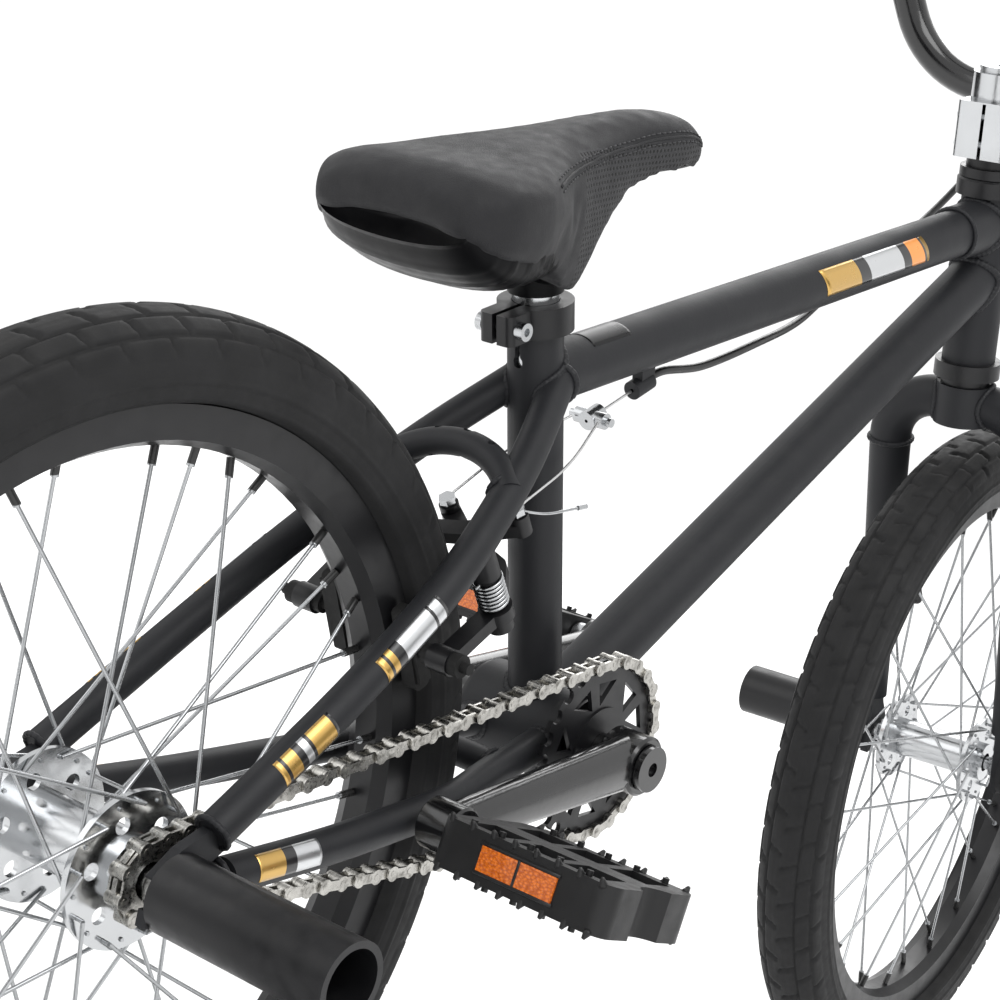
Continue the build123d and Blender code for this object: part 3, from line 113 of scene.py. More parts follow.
class Shader:
    """Node material under construction. Every helper returns an output socket."""

    def __init__(self, name, **constants):
        self.material = bpy.data.materials.new(name)
        self.material.use_nodes = True
        self.tree = self.material.node_tree
        self.bsdf = self.tree.nodes["Principled BSDF"]
        for key, value in constants.items():
            self.bsdf.inputs[key.replace("_", " ")].default_value = value
        coords = self.tree.nodes.new("ShaderNodeTexCoord")
        self.place = coords.outputs["Object"]

    def add(self, kind, **inputs):
        node = self.tree.nodes.new(kind)
        for key, value in inputs.items():
            self.set(node, key.replace("_", " "), value)
        return node

    def set(self, node, key, value):
        if isinstance(value, bpy.types.NodeSocket):
            self.tree.links.new(value, node.inputs[key])
        else:
            node.inputs[key].default_value = value

    def math(self, operation, a, b=0.0):
        node = self.tree.nodes.new("ShaderNodeMath")
        node.operation = operation
        self.set(node, 0, a)
        self.set(node, 1, b)
        return node.outputs[0]

    def vector_math(self, operation, a, b=(0, 0, 0)):
        node = self.tree.nodes.new("ShaderNodeVectorMath")
        node.operation = operation
        self.set(node, 0, a)
        self.set(node, 1, b)
        gives_number = operation in ("DOT_PRODUCT", "LENGTH", "DISTANCE")
        return node.outputs["Value" if gives_number else 0]

    def noise(self, scale, detail=4.0, roughness=0.55, vector=None, distortion=0.0):
        node = self.add(
            "ShaderNodeTexNoise", Vector=vector or self.place, Scale=scale, Detail=detail,
            Roughness=roughness, Distortion=distortion,
        )
        return node.outputs["Fac"]

    def cells(self, scale, vector=None):
        node = self.add("ShaderNodeTexVoronoi", Vector=vector or self.place, Scale=scale)
        return node.outputs["Distance"]

    def stretch(self, x, y, z):
        return self.vector_math("MULTIPLY", self.place, (x, y, z))

    def remap(self, value, low, high, to_low=0.0, to_high=1.0):
        node = self.tree.nodes.new("ShaderNodeMapRange")
        for key, number in (("From Min", low), ("From Max", high), ("To Min", to_low), ("To Max", to_high)):
            self.set(node, key, number)
        self.set(node, "Value", value)
        return node.outputs["Result"]

    def mix(self, share, first, second):
        node = self.tree.nodes.new("ShaderNodeMix")
        node.data_type = "RGBA"
        for index, value in ((0, share), (6, first), (7, second)):
            if isinstance(value, bpy.types.NodeSocket):
                self.tree.links.new(value, node.inputs[index])
            elif index:
                node.inputs[index].default_value = (*value[:3], 1.0)
            else:
                node.inputs[index].default_value = value
        return node.outputs[2]

    def bump(self, height, depth, under=None):
        node = self.add("ShaderNodeBump", Height=height, Distance=depth)
        if under is not None:
            self.tree.links.new(under, node.inputs["Normal"])
        return node.outputs["Normal"]

    def facing_up(self):
        """1 on surfaces that look up, 0 on walls and undersides."""
        geometry = self.tree.nodes.new("ShaderNodeNewGeometry")
        rise = self.vector_math("DOT_PRODUCT", geometry.outputs["Normal"], (0, 0, 1))
        return self.remap(rise, 0.1, 0.95)

    def to(self, key, value):
        self.set(self.bsdf, key, value)
        return self


def shade(color, factor):
    return tuple(min(1.0, c * factor) for c in color)


def finish(name, color, rough, *, grain=600.0, depth=0.00001, mottle=0.15, mottle_scale=28.0, spread=0.08,
           dust=0.0, scuff=0.0, scuff_color=(0.2, 0.2, 0.2), **constants):
    """Base look that every finish starts from: mottled colour, uneven gloss, fine grain, dust and scuffs."""
    s = Shader(name, **constants)
    broad = s.noise(mottle_scale, 5.0)
    tint = s.mix(s.remap(broad, 0.3, 0.7), shade(color, 1 - mottle), shade(color, 1 + mottle))
    roughness = s.remap(s.noise(mottle_scale * 4, 6.0), 0.3, 0.7, rough - spread, rough + spread)
    if dust:
        settled = s.math("MULTIPLY", s.facing_up(), s.remap(s.noise(90.0, 8.0), 0.42, 0.75, 0.0, dust))
        tint = s.mix(settled, tint, (0.30, 0.28, 0.25))
        roughness = s.math("ADD", roughness, settled)
    if scuff:
        streaks = s.noise(55.0, 8.0, 0.7, s.stretch(1.0, 6.0, 2.5), 0.6)
        worn = s.remap(streaks, 0.66, 0.74, 0.0, scuff)
        tint = s.mix(worn, tint, scuff_color)
        roughness = s.math("ADD", roughness, s.math("MULTIPLY", worn, 0.15))
    s.to("Base Color", tint).to("Roughness", roughness)
    s.grain = s.bump(s.noise(grain, 3.0), depth)
    s.to("Normal", s.grain)
    s.tint = tint
    return s


def paint_matte():
    """Satin charcoal powder coat: fine orange peel with a faint pearly speckle."""
    s = finish("frame_paint", (0.0125, 0.0130, 0.0150), 0.52, grain=1500.0, depth=0.00004, mottle=0.10,
               mottle_scale=9.0, spread=0.05, dust=0.02, Specular_IOR_Level=0.28)
    peel = s.bump(s.noise(420.0, 2.0), 0.00006, s.grain)
    s.to("Normal", peel)
    speck = s.remap(s.cells(2600.0), 0.0, 0.18, 0.5, 0.0)
    s.to("Base Color", s.mix(speck, s.tint, (0.030, 0.030, 0.034)))
    return s.material


def polished_alloy(name="polished_alloy_finish", rough=0.18, color=(0.50, 0.51, 0.52)):
    """Bright aluminium with fine turning lines and a few dull patches."""
    s = finish(name, color, rough, grain=900.0, mottle=0.05, spread=0.06, Metallic=1.0)
    lines = s.noise(700.0, 3.0, 0.6, s.stretch(1.0, 30.0, 1.0))
    s.to("Normal", s.bump(lines, 0.00001, s.grain))
    stain = s.remap(s.noise(60.0, 6.0), 0.58, 0.80, 0.0, 0.2)
    s.to("Base Color", s.mix(stain, s.tint, (0.50, 0.50, 0.50)))
    return s.material


def chain_steel():
    """Plated links: satin, darker where oil and dirt gather."""
    s = finish("chain_steel_finish", (0.42, 0.41, 0.385), 0.30, grain=2500.0, mottle=0.2,
               mottle_scale=160.0, spread=0.1, Metallic=1.0)
    oily = s.remap(s.noise(240.0, 6.0), 0.5, 0.72, 0.0, 0.8)
    s.to("Base Color", s.mix(oily, s.tint, (0.08, 0.075, 0.065)))
    return s.material


def wheel_word(centre):
    return "rear" if centre is REAR else "front"


def wheel_point_distance(s, centre):
    return s.vector_math("DISTANCE", s.place, tuple(centre))


def spoke_steel(centre):
    """Bright spokes with black nipples at the rim."""
    s = finish("spoke_finish_" + wheel_word(centre), (0.40, 0.41, 0.42), 0.28, grain=1500.0, mottle=0.08,
               spread=0.05)
    nipple = s.remap(wheel_point_distance(s, centre), 0.1796, 0.1800)
    s.to("Base Color", s.mix(nipple, s.tint, (0.02, 0.02, 0.02)))
    s.to("Metallic", s.remap(nipple, 0.0, 1.0, 1.0, 0.2))
    return s.material


def rim_black(centre):
    """Satin black rim with light turning lines."""
    s = finish("rim_finish_" + wheel_word(centre), (0.0075, 0.0075, 0.0085), 0.34, grain=1400.0,
               depth=0.00002, mottle=0.12, spread=0.06, dust=0.02, Specular_IOR_Level=0.35)
    reach = wheel_point_distance(s, centre)
    rings = s.noise(900.0, 2.0, 0.5, s.add("ShaderNodeCombineXYZ", X=reach).outputs[0])
    s.to("Normal", s.bump(rings, 0.00002, s.grain))
    return s.material


def tube_and_valve(centre):
    """Rubber tube, brass valve stem and black cap, told apart by their distance from the axle."""
    s = finish("valve_finish_" + wheel_word(centre), (0.02, 0.02, 0.02), 0.55, grain=900.0, depth=0.00003)
    reach = wheel_point_distance(s, centre)
    brass = s.math("MULTIPLY", s.remap(reach, 0.1745, 0.1747), s.remap(reach, 0.2100, 0.2102, 1.0, 0.0))
    thread = s.math("SINE", s.math("MULTIPLY", reach, 2 * pi / 0.0008))
    s.to("Base Color", s.mix(brass, s.tint, (0.62, 0.42, 0.16)))
    s.to("Metallic", brass)
    s.to("Roughness", s.remap(brass, 0.0, 1.0, 0.5, 0.28))
    s.to("Normal", s.bump(thread, 0.0001, s.grain))
    return s.material


def rubber(name, color=(0.012, 0.012, 0.012), rough=0.72, dust=0.05):
    return finish(name, color, rough, grain=1400.0, depth=0.00006, mottle=0.22, mottle_scale=45.0, dust=dust,
                  Specular_IOR_Level=0.25)


def tyre_rubber():
    s = rubber("tyre_finish", (0.0105, 0.0105, 0.011), 0.66, 0.03)
    fine = s.bump(s.noise(260.0, 6.0), 0.00008, s.grain)
    s.to("Normal", fine)
    return s.material


def reflector_amber():
    """Clear amber over small corner prisms."""
    s = finish("reflector_finish", (0.58, 0.125, 0.005), 0.16, grain=500.0, mottle=0.10,
               Coat_Weight=0.5, Coat_Roughness=0.05)
    cells = s.cells(520.0, s.stretch(1.0, 1.0, 1.6))
    s.to("Base Color", s.mix(s.remap(cells, 0.1, 0.7), (0.72, 0.17, 0.008), (0.40, 0.075, 0.003)))
    s.to("Normal", s.bump(cells, 0.0003, s.grain))
    return s.material


def saddle_plain():
    """Smooth synthetic piping: faint pebble grain and soft sheen."""
    s = finish("saddle_cover_finish", (0.013, 0.013, 0.0145), 0.60, grain=1700.0, depth=0.00010, mottle=0.10,
               mottle_scale=22.0, spread=0.05, Specular_IOR_Level=0.25, Sheen_Weight=0.04,
               Sheen_Roughness=0.5)
    pebble = s.cells(1500.0)
    s.to("Normal", s.bump(pebble, 0.00012, s.grain))
    return s.material


def wire_steel():
    s = finish("wire_finish", (0.62, 0.62, 0.62), 0.28, grain=2500.0, Metallic=1.0)
    twist = s.noise(1800.0, 2.0, 0.5, s.stretch(1.0, 1.0, 0.35))
    s.to("Normal", s.bump(twist, 0.00008, s.grain))
    return s.material


FRAME_PAINT = paint_matte()
BLACK = finish("part_black_finish", (0.007, 0.007, 0.008), 0.36, grain=1200.0, depth=0.00003, mottle=0.18,
               dust=0.03, scuff=0.15, scuff_color=(0.03, 0.03, 0.032), Specular_IOR_Level=0.35).material
GLOSS = finish("gloss_black_paint", (0.004, 0.004, 0.0045), 0.20, grain=300.0, mottle=0.2, spread=0.04,
               scuff=0.12, scuff_color=(0.02, 0.02, 0.02), Coat_Weight=0.35, Coat_Roughness=0.06).material
ALLOY = polished_alloy()
STEEL = polished_alloy("bright_steel_finish", 0.24, (0.46, 0.47, 0.48))
CHAIN = chain_steel()
TYRE = tyre_rubber()
GRIP = rubber("grip_finish", (0.011, 0.011, 0.012), 0.62, 0.02).material
PAD = rubber("brake_pad_finish", (0.014, 0.014, 0.014), 0.7, 0.02).material
RESIN = finish("pedal_resin_finish", (0.0085, 0.0085, 0.009), 0.42, grain=2200.0, depth=0.00006, mottle=0.16,
               dust=0.03, scuff=0.15, scuff_color=(0.03, 0.03, 0.03), Specular_IOR_Level=0.35).material
AMBER = reflector_amber()
BASE = finish("saddle_base_finish", (0.003, 0.003, 0.0035), 0.34, grain=900.0, depth=0.00003, mottle=0.2,
              spread=0.06, dust=0.01, Specular_IOR_Level=0.08).material
COVER = saddle_plain()
HOUSING = finish("housing_finish", (0.006, 0.006, 0.0065), 0.32, grain=800.0, depth=0.00002,
                 mottle=0.12).material
WIRE = wire_steel()

FINISHED_NODES = (
    (FRAME_PAINT, "head_tube top_tube down_tube seat_tube bb_shell seat_stays chain_stays dropouts"),
    (FRAME_PAINT, "fork_crown fork_legs cable_stop"),
    (BLACK, "brake_studs headset_cups headset_top bb_bearings seat_clamp rear_pegs front_pegs chainring"),
    (BLACK, "fork_steerer lever_bracket brake_lever brake_arm_right brake_arm_left"),
    (GLOSS, "handlebar crossbar crank_arms crank_spindle"),
    (ALLOY, "seatpost stem stem_faceplate rear_hub front_hub"),
    (STEEL, "seat_clamp_bolt stem_bolts rear_axle front_axle pedal_spindles brake_yoke"),
    (CHAIN, "chain driver_cog"), (GRIP, "grips"), (TYRE, "rear_tyre front_tyre"),
    (RESIN, "pedal_right pedal_left"), (AMBER, "pedal_right_reflectors pedal_left_reflectors"),
    (PAD, "brake_shoe_right brake_shoe_left"), (BASE, "saddle_shell"), (COVER, "saddle_pad"),
    (HOUSING, "brake_housing"), (WIRE, "brake_wires"),
    (spoke_steel(REAR), "rear_spokes"), (spoke_steel(FRONT), "front_spokes"),
    (rim_black(REAR), "rear_rim"), (rim_black(FRONT), "front_rim"),
    (tube_and_valve(REAR), "rear_tube"), (tube_and_valve(FRONT), "front_tube"),
)
NODE_FINISH = {name: material for material, names in FINISHED_NODES for name in names.split()}


def dress(obj, material):
    obj.data.materials.clear()
    obj.data.materials.append(material)


for node_name, node_object in NODES.items():
    dress(node_object, NODE_FINISH[node_name])

# ---- mesh helpers

def linked(name, data):
    """A new object in the scene."""
    obj = bpy.data.objects.new(name, data)
    bpy.context.scene.collection.objects.link(obj)
    return obj


def mesh_object(name, verts, faces, smooth=True):
    mesh = bpy.data.meshes.new(name)
    mesh.from_pydata([tuple(v) for v in verts], [], faces)
    mesh.update()
    for polygon in mesh.polygons:
        polygon.use_smooth = smooth
    return linked(name, mesh)


def new_piece(name, verts, faces, material, body, smooth=True):
    """A mesh object that rides on a CAD body and wears the finish it is given."""
    obj = mesh_object(name, verts, faces, smooth)
    dress(obj, material)
    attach(obj, body)
    return obj


class Soup:
    """Collects several shells of vertices and faces into one mesh."""

    def __init__(self):
        self.verts = []
        self.faces = []

    def take(self, verts, faces):
        base = len(self.verts)
        self.verts.extend(verts)
        self.faces.extend([tuple(base + i for i in face) for face in faces])
        return self


def grid_faces(rows, columns, close_rows=False, close_columns=True):
    """Quads over a rows by columns sheet of vertices, wrapped where asked."""
    faces = []
    for i in range(rows if close_rows else rows - 1):
        for j in range(columns if close_columns else columns - 1):
            i2, j2 = (i + 1) % rows, (j + 1) % columns
            faces.append((i * columns + j, i * columns + j2, i2 * columns + j2, i2 * columns + j))
    return faces


def end_faces(rows, columns):
    """The first and the last row of a sheet, each closed by one face."""
    return [tuple(range(columns)), tuple(reversed(range((rows - 1) * columns, rows * columns)))]


def carried_frames(points, closed=False):
    """A normal at each point of a line, carried along without twisting."""
    count = len(points)
    tangents = []
    for i in range(count):
        before = points[i - 1] if i or closed else points[i]
        after = points[(i + 1) % count] if i < count - 1 or closed else points[i]
        tangents.append((after - before).normalized())
    side = tangents[0].orthogonal().normalized()
    frames = []
    for tangent in tangents:
        side = (side - tangent * side.dot(tangent)).normalized()
        frames.append((side, tangent.cross(side)))
    return frames


def tube_mesh(points, radius, sides=12, closed=False):
    """A round tube along points; radius is a number or a function of the point's index."""
    verts = []
    for i, (point, (side, across)) in enumerate(zip(points, carried_frames(points, closed))):
        r = radius(i) if callable(radius) else radius
        for j in range(sides):
            angle = 2 * pi * j / sides
            verts.append(point + side * (r * cos(angle)) + across * (r * sin(angle)))
    faces = grid_faces(len(points), sides, close_rows=closed)
    if not closed:
        faces.append(tuple(reversed(range(sides))))
        faces.append(tuple(range((len(points) - 1) * sides, len(points) * sides)))
    return verts, faces


def smooth_line(points, count):
    """Points along a Catmull-Rom line through the given ones."""
    points = [Vector(p) for p in points]
    padded = [points[0] * 2 - points[1], *points, points[-1] * 2 - points[-2]]
    spans = len(points) - 1
    out = []
    for n in range(count):
        t = n * spans / (count - 1)
        k = min(int(t), spans - 1)
        u = t - k
        a, b, c, d = padded[k:k + 4]
        out.append(0.5 * ((2 * b) + (c - a) * u + (2 * a - 5 * b + 4 * c - d) * u * u
                          + (3 * b - a - 3 * c + d) * u ** 3))
    return out


# ---- welds

BEAD_R = 2.3 * MM
RIPPLE = 3.1 * MM


def meeting_curve(start, direction, radius, axis_point, axis, axis_radius, count=160):
    """The closed line where a tube that starts inside another leaves that other's surface."""
    direction = direction.normalized()
    one = direction.orthogonal().normalized()
    two = direction.cross(one)
    out = []
    for n in range(count):
        angle = 2 * pi * n / count
        rim = start + one * (radius * cos(angle)) + two * (radius * sin(angle))
        off = rim - axis_point
        off = off - axis * off.dot(axis)
        run = direction - axis * direction.dot(axis)
        a, b, c = run.dot(run), 2 * off.dot(run), off.dot(off) - axis_radius ** 2
        root = sqrt(max(b * b - 4 * a * c, 0.0))
        out.append(rim + direction * ((-b + root) / (2 * a)))
    return out


def circle_line(centre, axis, radius, count=120):
    axis = axis.normalized()
    one = axis.orthogonal().normalized()
    two = axis.cross(one)
    return [centre + one * (radius * cos(2 * pi * n / count)) + two * (radius * sin(2 * pi * n / count))
            for n in range(count)]


def even_steps(points, step):
    """Resamples a closed line into equal steps of about the given length."""
    loop = points + [points[0]]
    lengths = [0.0]
    for a, b in zip(loop, loop[1:]):
        lengths.append(lengths[-1] + (b - a).length)
    count = max(24, round(lengths[-1] / step))
    out, k = [], 0
    for n in range(count):
        goal = lengths[-1] * n / count
        while lengths[k + 1] < goal:
            k += 1
        share = (goal - lengths[k]) / max(lengths[k + 1] - lengths[k], 1e-9)
        out.append(loop[k].lerp(loop[k + 1], share))
    return out


def weld(soup, curve, size=BEAD_R, ripple=RIPPLE):
    """A bead laid in overlapping puddles, like a row of leaning coins."""
    points = even_steps(curve, ripple / 6)
    turns = max(1, round(len(points) / 6))

    def bead_radius(i):
        phase = (i * turns / len(points)) % 1.0
        wobble = 0.06 * noise.noise(points[i] * 260)
        return size * (0.86 + 0.24 * (1 - phase) ** 0.6 + wobble)

    soup.take(*tube_mesh(points, bead_radius, 10, closed=True))


def make_frame_welds():
    soup = Soup()
    tip = TOP_START + TOP_DIR * TOP_LENGTH
    weld(soup, meeting_curve(tip, -TOP_DIR, TOP_TUBE_R + 2.3 * MM, STEER_FOOT, HEAD_DIR, HEAD_R), 2.8 * MM)
    weld(soup, circle_line(TOP_START + TOP_DIR * COLLAR_START, TOP_DIR, TOP_TUBE_R + 0.9 * MM), 1.7 * MM)
    foot = BB + DOWN_DIR * DOWN_LENGTH
    weld(soup, meeting_curve(foot, -DOWN_DIR, DOWN_TUBE_R, STEER_FOOT, HEAD_DIR, HEAD_R), 2.8 * MM)
    weld(soup, meeting_curve(BB, DOWN_DIR, DOWN_TUBE_R, BB, LEFT, BB_R), 2.6 * MM)
    weld(soup, meeting_curve(BB, SEAT_DIR, SEAT_TUBE_R, BB, LEFT, BB_R), 2.6 * MM)
    weld(soup, meeting_curve(TOP_START, TOP_DIR, TOP_TUBE_R - 0.4 * MM, BB, SEAT_DIR, SEAT_TUBE_R), 2.6 * MM)
    for side in (-1, 1):
        lower = Vector((BB.x, side * 20.5 * MM, BB.z))
        weld(soup, meeting_curve(lower, Vector((-40, side * 5, -7)), STAY_R, BB, LEFT, BB_R), 2.1 * MM)
        upper = Vector((-168 * MM, side * 8.2 * MM, 495.5 * MM))
        stay_way = Vector((-23, side * 13, -23))
        weld(soup, meeting_curve(upper, stay_way, STAY_R, BB, SEAT_DIR, SEAT_TUBE_R), 2.1 * MM)
        bridge_end = Vector((-234, side * 34.2, 434.5)) * MM
        weld(soup, circle_line(bridge_end, Vector((9, side * -40, 16)), 7.6 * MM), 1.6 * MM)
        weld(soup, circle_line(Vector((-176, side * 25.8, 282)) * MM, LEFT, 8.1 * MM), 1.6 * MM)
        for place, way in (
            ((-413.5, side * 58.7, 254.2), (-48, side * 2.6, -4)),
            ((-420.5, side * 59.0, 276), (-76, side * 2, -59.5)),
        ):
            weld(soup, circle_line(Vector(place) * MM, Vector(way), STAY_R - 0.4 * MM), 1.5 * MM)
    new_piece("frame_welds", soup.verts, soup.faces, FRAME_PAINT, "frame")


# ---- tyres

TYRE_R = 250 * MM
TYRE_CENTRE_R = 222.5 * MM
TYRE_HALF = 27 * MM
BEAD_HALF = 13.2 * MM
RIM_EDGE_R = 209.5 * MM
TREAD_DEPTH = 2.0 * MM
TREAD_PITCHES = 54
BLOCK_ANGLE = 24.5
BLOCK_RUN = 15.5
TREAD_END = 74


def tread_height(turn, angle):
    """Depth of the tread below its blocks: turn counts pitches, angle runs over the crown in degrees."""
    reach = abs(angle)
    if reach > TREAD_END:
        return -TREAD_DEPTH
    slant = turn + (0.34 if angle > 0 else 0.0) + reach * 0.0065
    across_block = (reach / BLOCK_ANGLE) % 1.0
    row = int(reach / BLOCK_ANGLE)
    along = (slant + 0.5 * row) % 1.0
    edge_a = min(across_block, 1 - across_block) * BLOCK_ANGLE
    edge_b = min(along, 1 - along) * BLOCK_RUN
    if reach < 12:
        edge_a = 12 - reach if reach > 6 else 24.0
    wall = min(edge_a / 1.6, edge_b / 0.9)
    block = max(0.0, min(1.0, wall - 0.35))
    fade = 1.0 if reach < 58 else max(0.0, (TREAD_END - reach) / 16)
    return -TREAD_DEPTH * (1 - block * fade)


def tyre_profile():
    """Steps of 2.5 degrees over the outside, from bead to bead: radius, side, crown angle."""
    steps = []
    for n in range(117):
        angle = radians(-145 + 2.5 * n)
        flat = 1.0 + 0.02 * cos(2 * angle)
        radius = TYRE_CENTRE_R + (TYRE_R - TYRE_CENTRE_R) * cos(angle)
        side = TYRE_HALF * sin(angle) * flat
        steps.append((radius, side, degrees(angle)))
    low = [s for s in steps if s[0] > RIM_EDGE_R]
    flank = BEAD_HALF + 0.1 * MM
    return [(RIM_EDGE_R, -flank, -138.0), *low, (RIM_EDGE_R, flank, 138.0)]


def wheel_axes(which):
    """Centre, forward, left and up of a wheel."""
    if which == "rear":
        return REAR, Vector((1, 0, 0)), LEFT, UP
    return FRONT, STEER_AHEAD, STEER_LEFT, HEAD_DIR


def make_tyre(which):
    """Outer skin with moulded blocks and ribbed side walls, closed round the beads."""
    centre, ahead, left, above = wheel_axes(which)
    profile = tyre_profile()
    around_steps = TREAD_PITCHES * 14
    verts = []
    for i in range(around_steps):
        turn = i / around_steps
        spoke = ahead * cos(2 * pi * turn) + above * sin(2 * pi * turn)
        for radius, side, angle in profile:
            lift = tread_height(turn * TREAD_PITCHES, angle)
            reach = abs(angle)
            if reach > 120:
                lift = 0.0
            elif 92 < reach < 97 or 112 < reach < 115:
                lift += 0.7 * MM
            out = Vector((cos(radians(angle)), sin(radians(angle))))
            verts.append(centre + spoke * (radius + out.x * lift) + left * (side + out.y * lift))
        for side in (BEAD_HALF * 0.95, BEAD_HALF * 0.6, -BEAD_HALF * 0.6, -BEAD_HALF * 0.95):
            depth = 204.6 * MM if abs(side) > 0.9 * BEAD_HALF else 206 * MM
            verts.append(centre + spoke * depth + left * side)
    faces = grid_faces(around_steps, len(profile) + 4, close_rows=True)
    tyre = new_piece(which + "_tread", verts, faces, TYRE, which + "_wheel")
    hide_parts(which + "_tyre")


# ---- decals

def decal_material(name, coords_origin, along, bands, base):
    """Bands of foil colour across a tube: each band is (from, to, colour), in metres along it."""
    s = finish(name, base, 0.30, grain=900.0, mottle=0.05, spread=0.04, Coat_Weight=0.4,
               Coat_Roughness=0.1)
    run = s.vector_math("DOT_PRODUCT", s.vector_math("SUBTRACT", s.place, tuple(coords_origin)), tuple(along))
    color, shine = s.tint, 0.0
    for low, high, tone, metal in bands:
        begun = s.remap(run, low, low + BAND_EDGE)
        inside = s.math("MULTIPLY", begun, s.remap(run, high, high + BAND_EDGE, 1.0, 0.0))
        color = s.mix(inside, color, tone)
        shine = s.math("ADD", shine, s.math("MULTIPLY", inside, metal))
    s.to("Base Color", color).to("Metallic", s.math("MINIMUM", shine, 1.0))
    return s.material


GOLD = (0.58, 0.36, 0.10)
SILVER = (0.62, 0.63, 0.64)
ORANGE = (0.80, 0.30, 0.06)
INK = (0.008, 0.008, 0.009)
DECAL_LIFT = 0.18 * MM
BAND_EDGE = 0.2 * MM


def patch_on_tube(name, start, direction, radius, along, around, material, skew=0.0):
    """A thin film on a frame tube: along and around are (from, to), in metres and in radians from the top."""
    side = direction.cross(UP).normalized()
    above = side.cross(direction).normalized()
    rows, columns = 24, 10
    verts = []
    for layer in (DECAL_LIFT, 0.02 * MM):
        for i in range(rows + 1):
            for j in range(columns + 1):
                share = j / columns
                run = along[0] + (along[1] - along[0]) * i / rows + skew * (share - 0.5)
                angle = around[0] + (around[1] - around[0]) * share
                out = above * cos(angle) + side * sin(angle)
                verts.append(start + direction * run + out * (radius + layer))
    sheet = (rows + 1) * (columns + 1)
    faces = grid_faces(rows + 1, columns + 1, close_columns=False)
    faces += [tuple(sheet + k for k in reversed(face)) for face in faces]
    edge = [j for j in range(columns + 1)]
    edge += [i * (columns + 1) + columns for i in range(1, rows + 1)]
    edge += [rows * (columns + 1) + j for j in range(columns - 1, -1, -1)]
    edge += [i * (columns + 1) for i in range(rows - 1, 0, -1)]
    for a, b in zip(edge, edge[1:] + edge[:1]):
        faces.append((a, sheet + a, sheet + b, b))
    return new_piece(name, verts, faces, material, "frame")


def make_decals():
    """Generic foil stripes: no words or marks."""
    origin = TOP_START + TOP_DIR * (COLLAR_START - 190 * MM)
    bands = [(0.0, 0.038, GOLD, 0.8), (0.040, 0.046, INK, 0.0), (0.048, 0.082, SILVER, 0.9),
             (0.084, 0.088, INK, 0.0), (0.090, 0.104, ORANGE, 0.3), (0.106, 0.132, GOLD, 0.8)]
    slanted = (TOP_DIR + UP * 0.55).normalized() * 0.92
    stripes = decal_material("top_tube_stripes", origin, slanted, bands, INK)
    for name, around in (("right", (0.75, 1.85)), ("left", (-1.85, -0.75))):
        patch_on_tube("top_tube_stripe_" + name, origin, TOP_DIR, TOP_TUBE_R, (0.004, 0.128), around, stripes,
                      skew=0.006)
    label = finish("label_finish", (0.005, 0.005, 0.0055), 0.30, grain=500.0, mottle=0.2,
                   spread=0.04, Specular_IOR_Level=0.3)
    patch_on_tube("top_tube_label", TOP_START, TOP_DIR, TOP_TUBE_R, (0.036, 0.070), (-0.75, 0.75),
                  label.material)
    stays = (
        ("seat", (-345, 57.5, 335), (-280, 52, 389), 0.018, 0.068,
         [(0.0, 0.004, GOLD, 0.8), (0.006, 0.010, GOLD, 0.8), (0.016, 0.040, SILVER, 0.9),
          (0.042, 0.048, SILVER, 0.9)]),
        ("lower", (-421, 59, 275.5), (-345, 57.5, 335), 0.040, 0.078,
         [(0.0, 0.003, GOLD, 0.8), (0.005, 0.012, GOLD, 0.8), (0.016, 0.020, SILVER, 0.9),
          (0.022, 0.036, GOLD, 0.8)]),
        ("chain", (-408, 58.6, 254), (-330, 54, 260), 0.016, 0.060,
         [(0.0, 0.018, GOLD, 0.8), (0.020, 0.024, INK, 0.0), (0.026, 0.044, SILVER, 0.9)]),
    )
    for side, hand in HANDS:
        around = (0.4, 1.9) if side < 0 else (-1.9, -0.4)
        for stay, low, high, start, end, bands in stays:
            low, high = (Vector((x, side * y, z)) * MM for x, y, z in (low, high))
            along = (high - low).normalized()
            foil = decal_material(stay + "_stay_stripes_" + hand, low + along * start, along, bands, INK)
            patch_on_tube(stay + "_stay_stripe_" + hand, low, along, STAY_R, (start, end), around, foil)


# ---- fork and bar welds

LEG_Y = 55 * MM
LEG_R = 15 * MM
LEG_HEAD = (8 * MM, 242 * MM)
LEG_FOOT = (31 * MM, 20 * MM)
BAR_R = 11.1 * MM
BAR_REACH = 50.0
BAR_HEIGHT = 495.0
BAR_BEND_R = 70.0
BAR_FLAT_HALF = 29.5
BAR_LEG = radians(68)
BAR_RISE = 205.0
BAR_HALF = 355.0
BAR_BACKSWEEP = radians(12)
BAR_UPSWEEP = radians(2)
CROSSBAR_RISE = 135.0
KNEE_Y = BAR_FLAT_HALF + BAR_BEND_R * tan(BAR_LEG / 2)
SHOULDER_Y = KNEE_Y + BAR_RISE / tan(BAR_LEG)


def steered_mm(point):
    return steered(point[0] * MM, point[1] * MM, point[2] * MM)


def bar_line(side):
    """Knee, shoulder and tip of the handlebar on one side, in the steering frame, in millimetres."""
    run = BAR_HALF - SHOULDER_Y
    return (
        Vector((BAR_REACH, side * KNEE_Y, BAR_HEIGHT)),
        Vector((BAR_REACH, side * SHOULDER_Y, BAR_HEIGHT + BAR_RISE)),
        Vector((BAR_REACH - run * tan(BAR_BACKSWEEP), side * BAR_HALF,
                BAR_HEIGHT + BAR_RISE + run * tan(BAR_UPSWEEP))),
    )


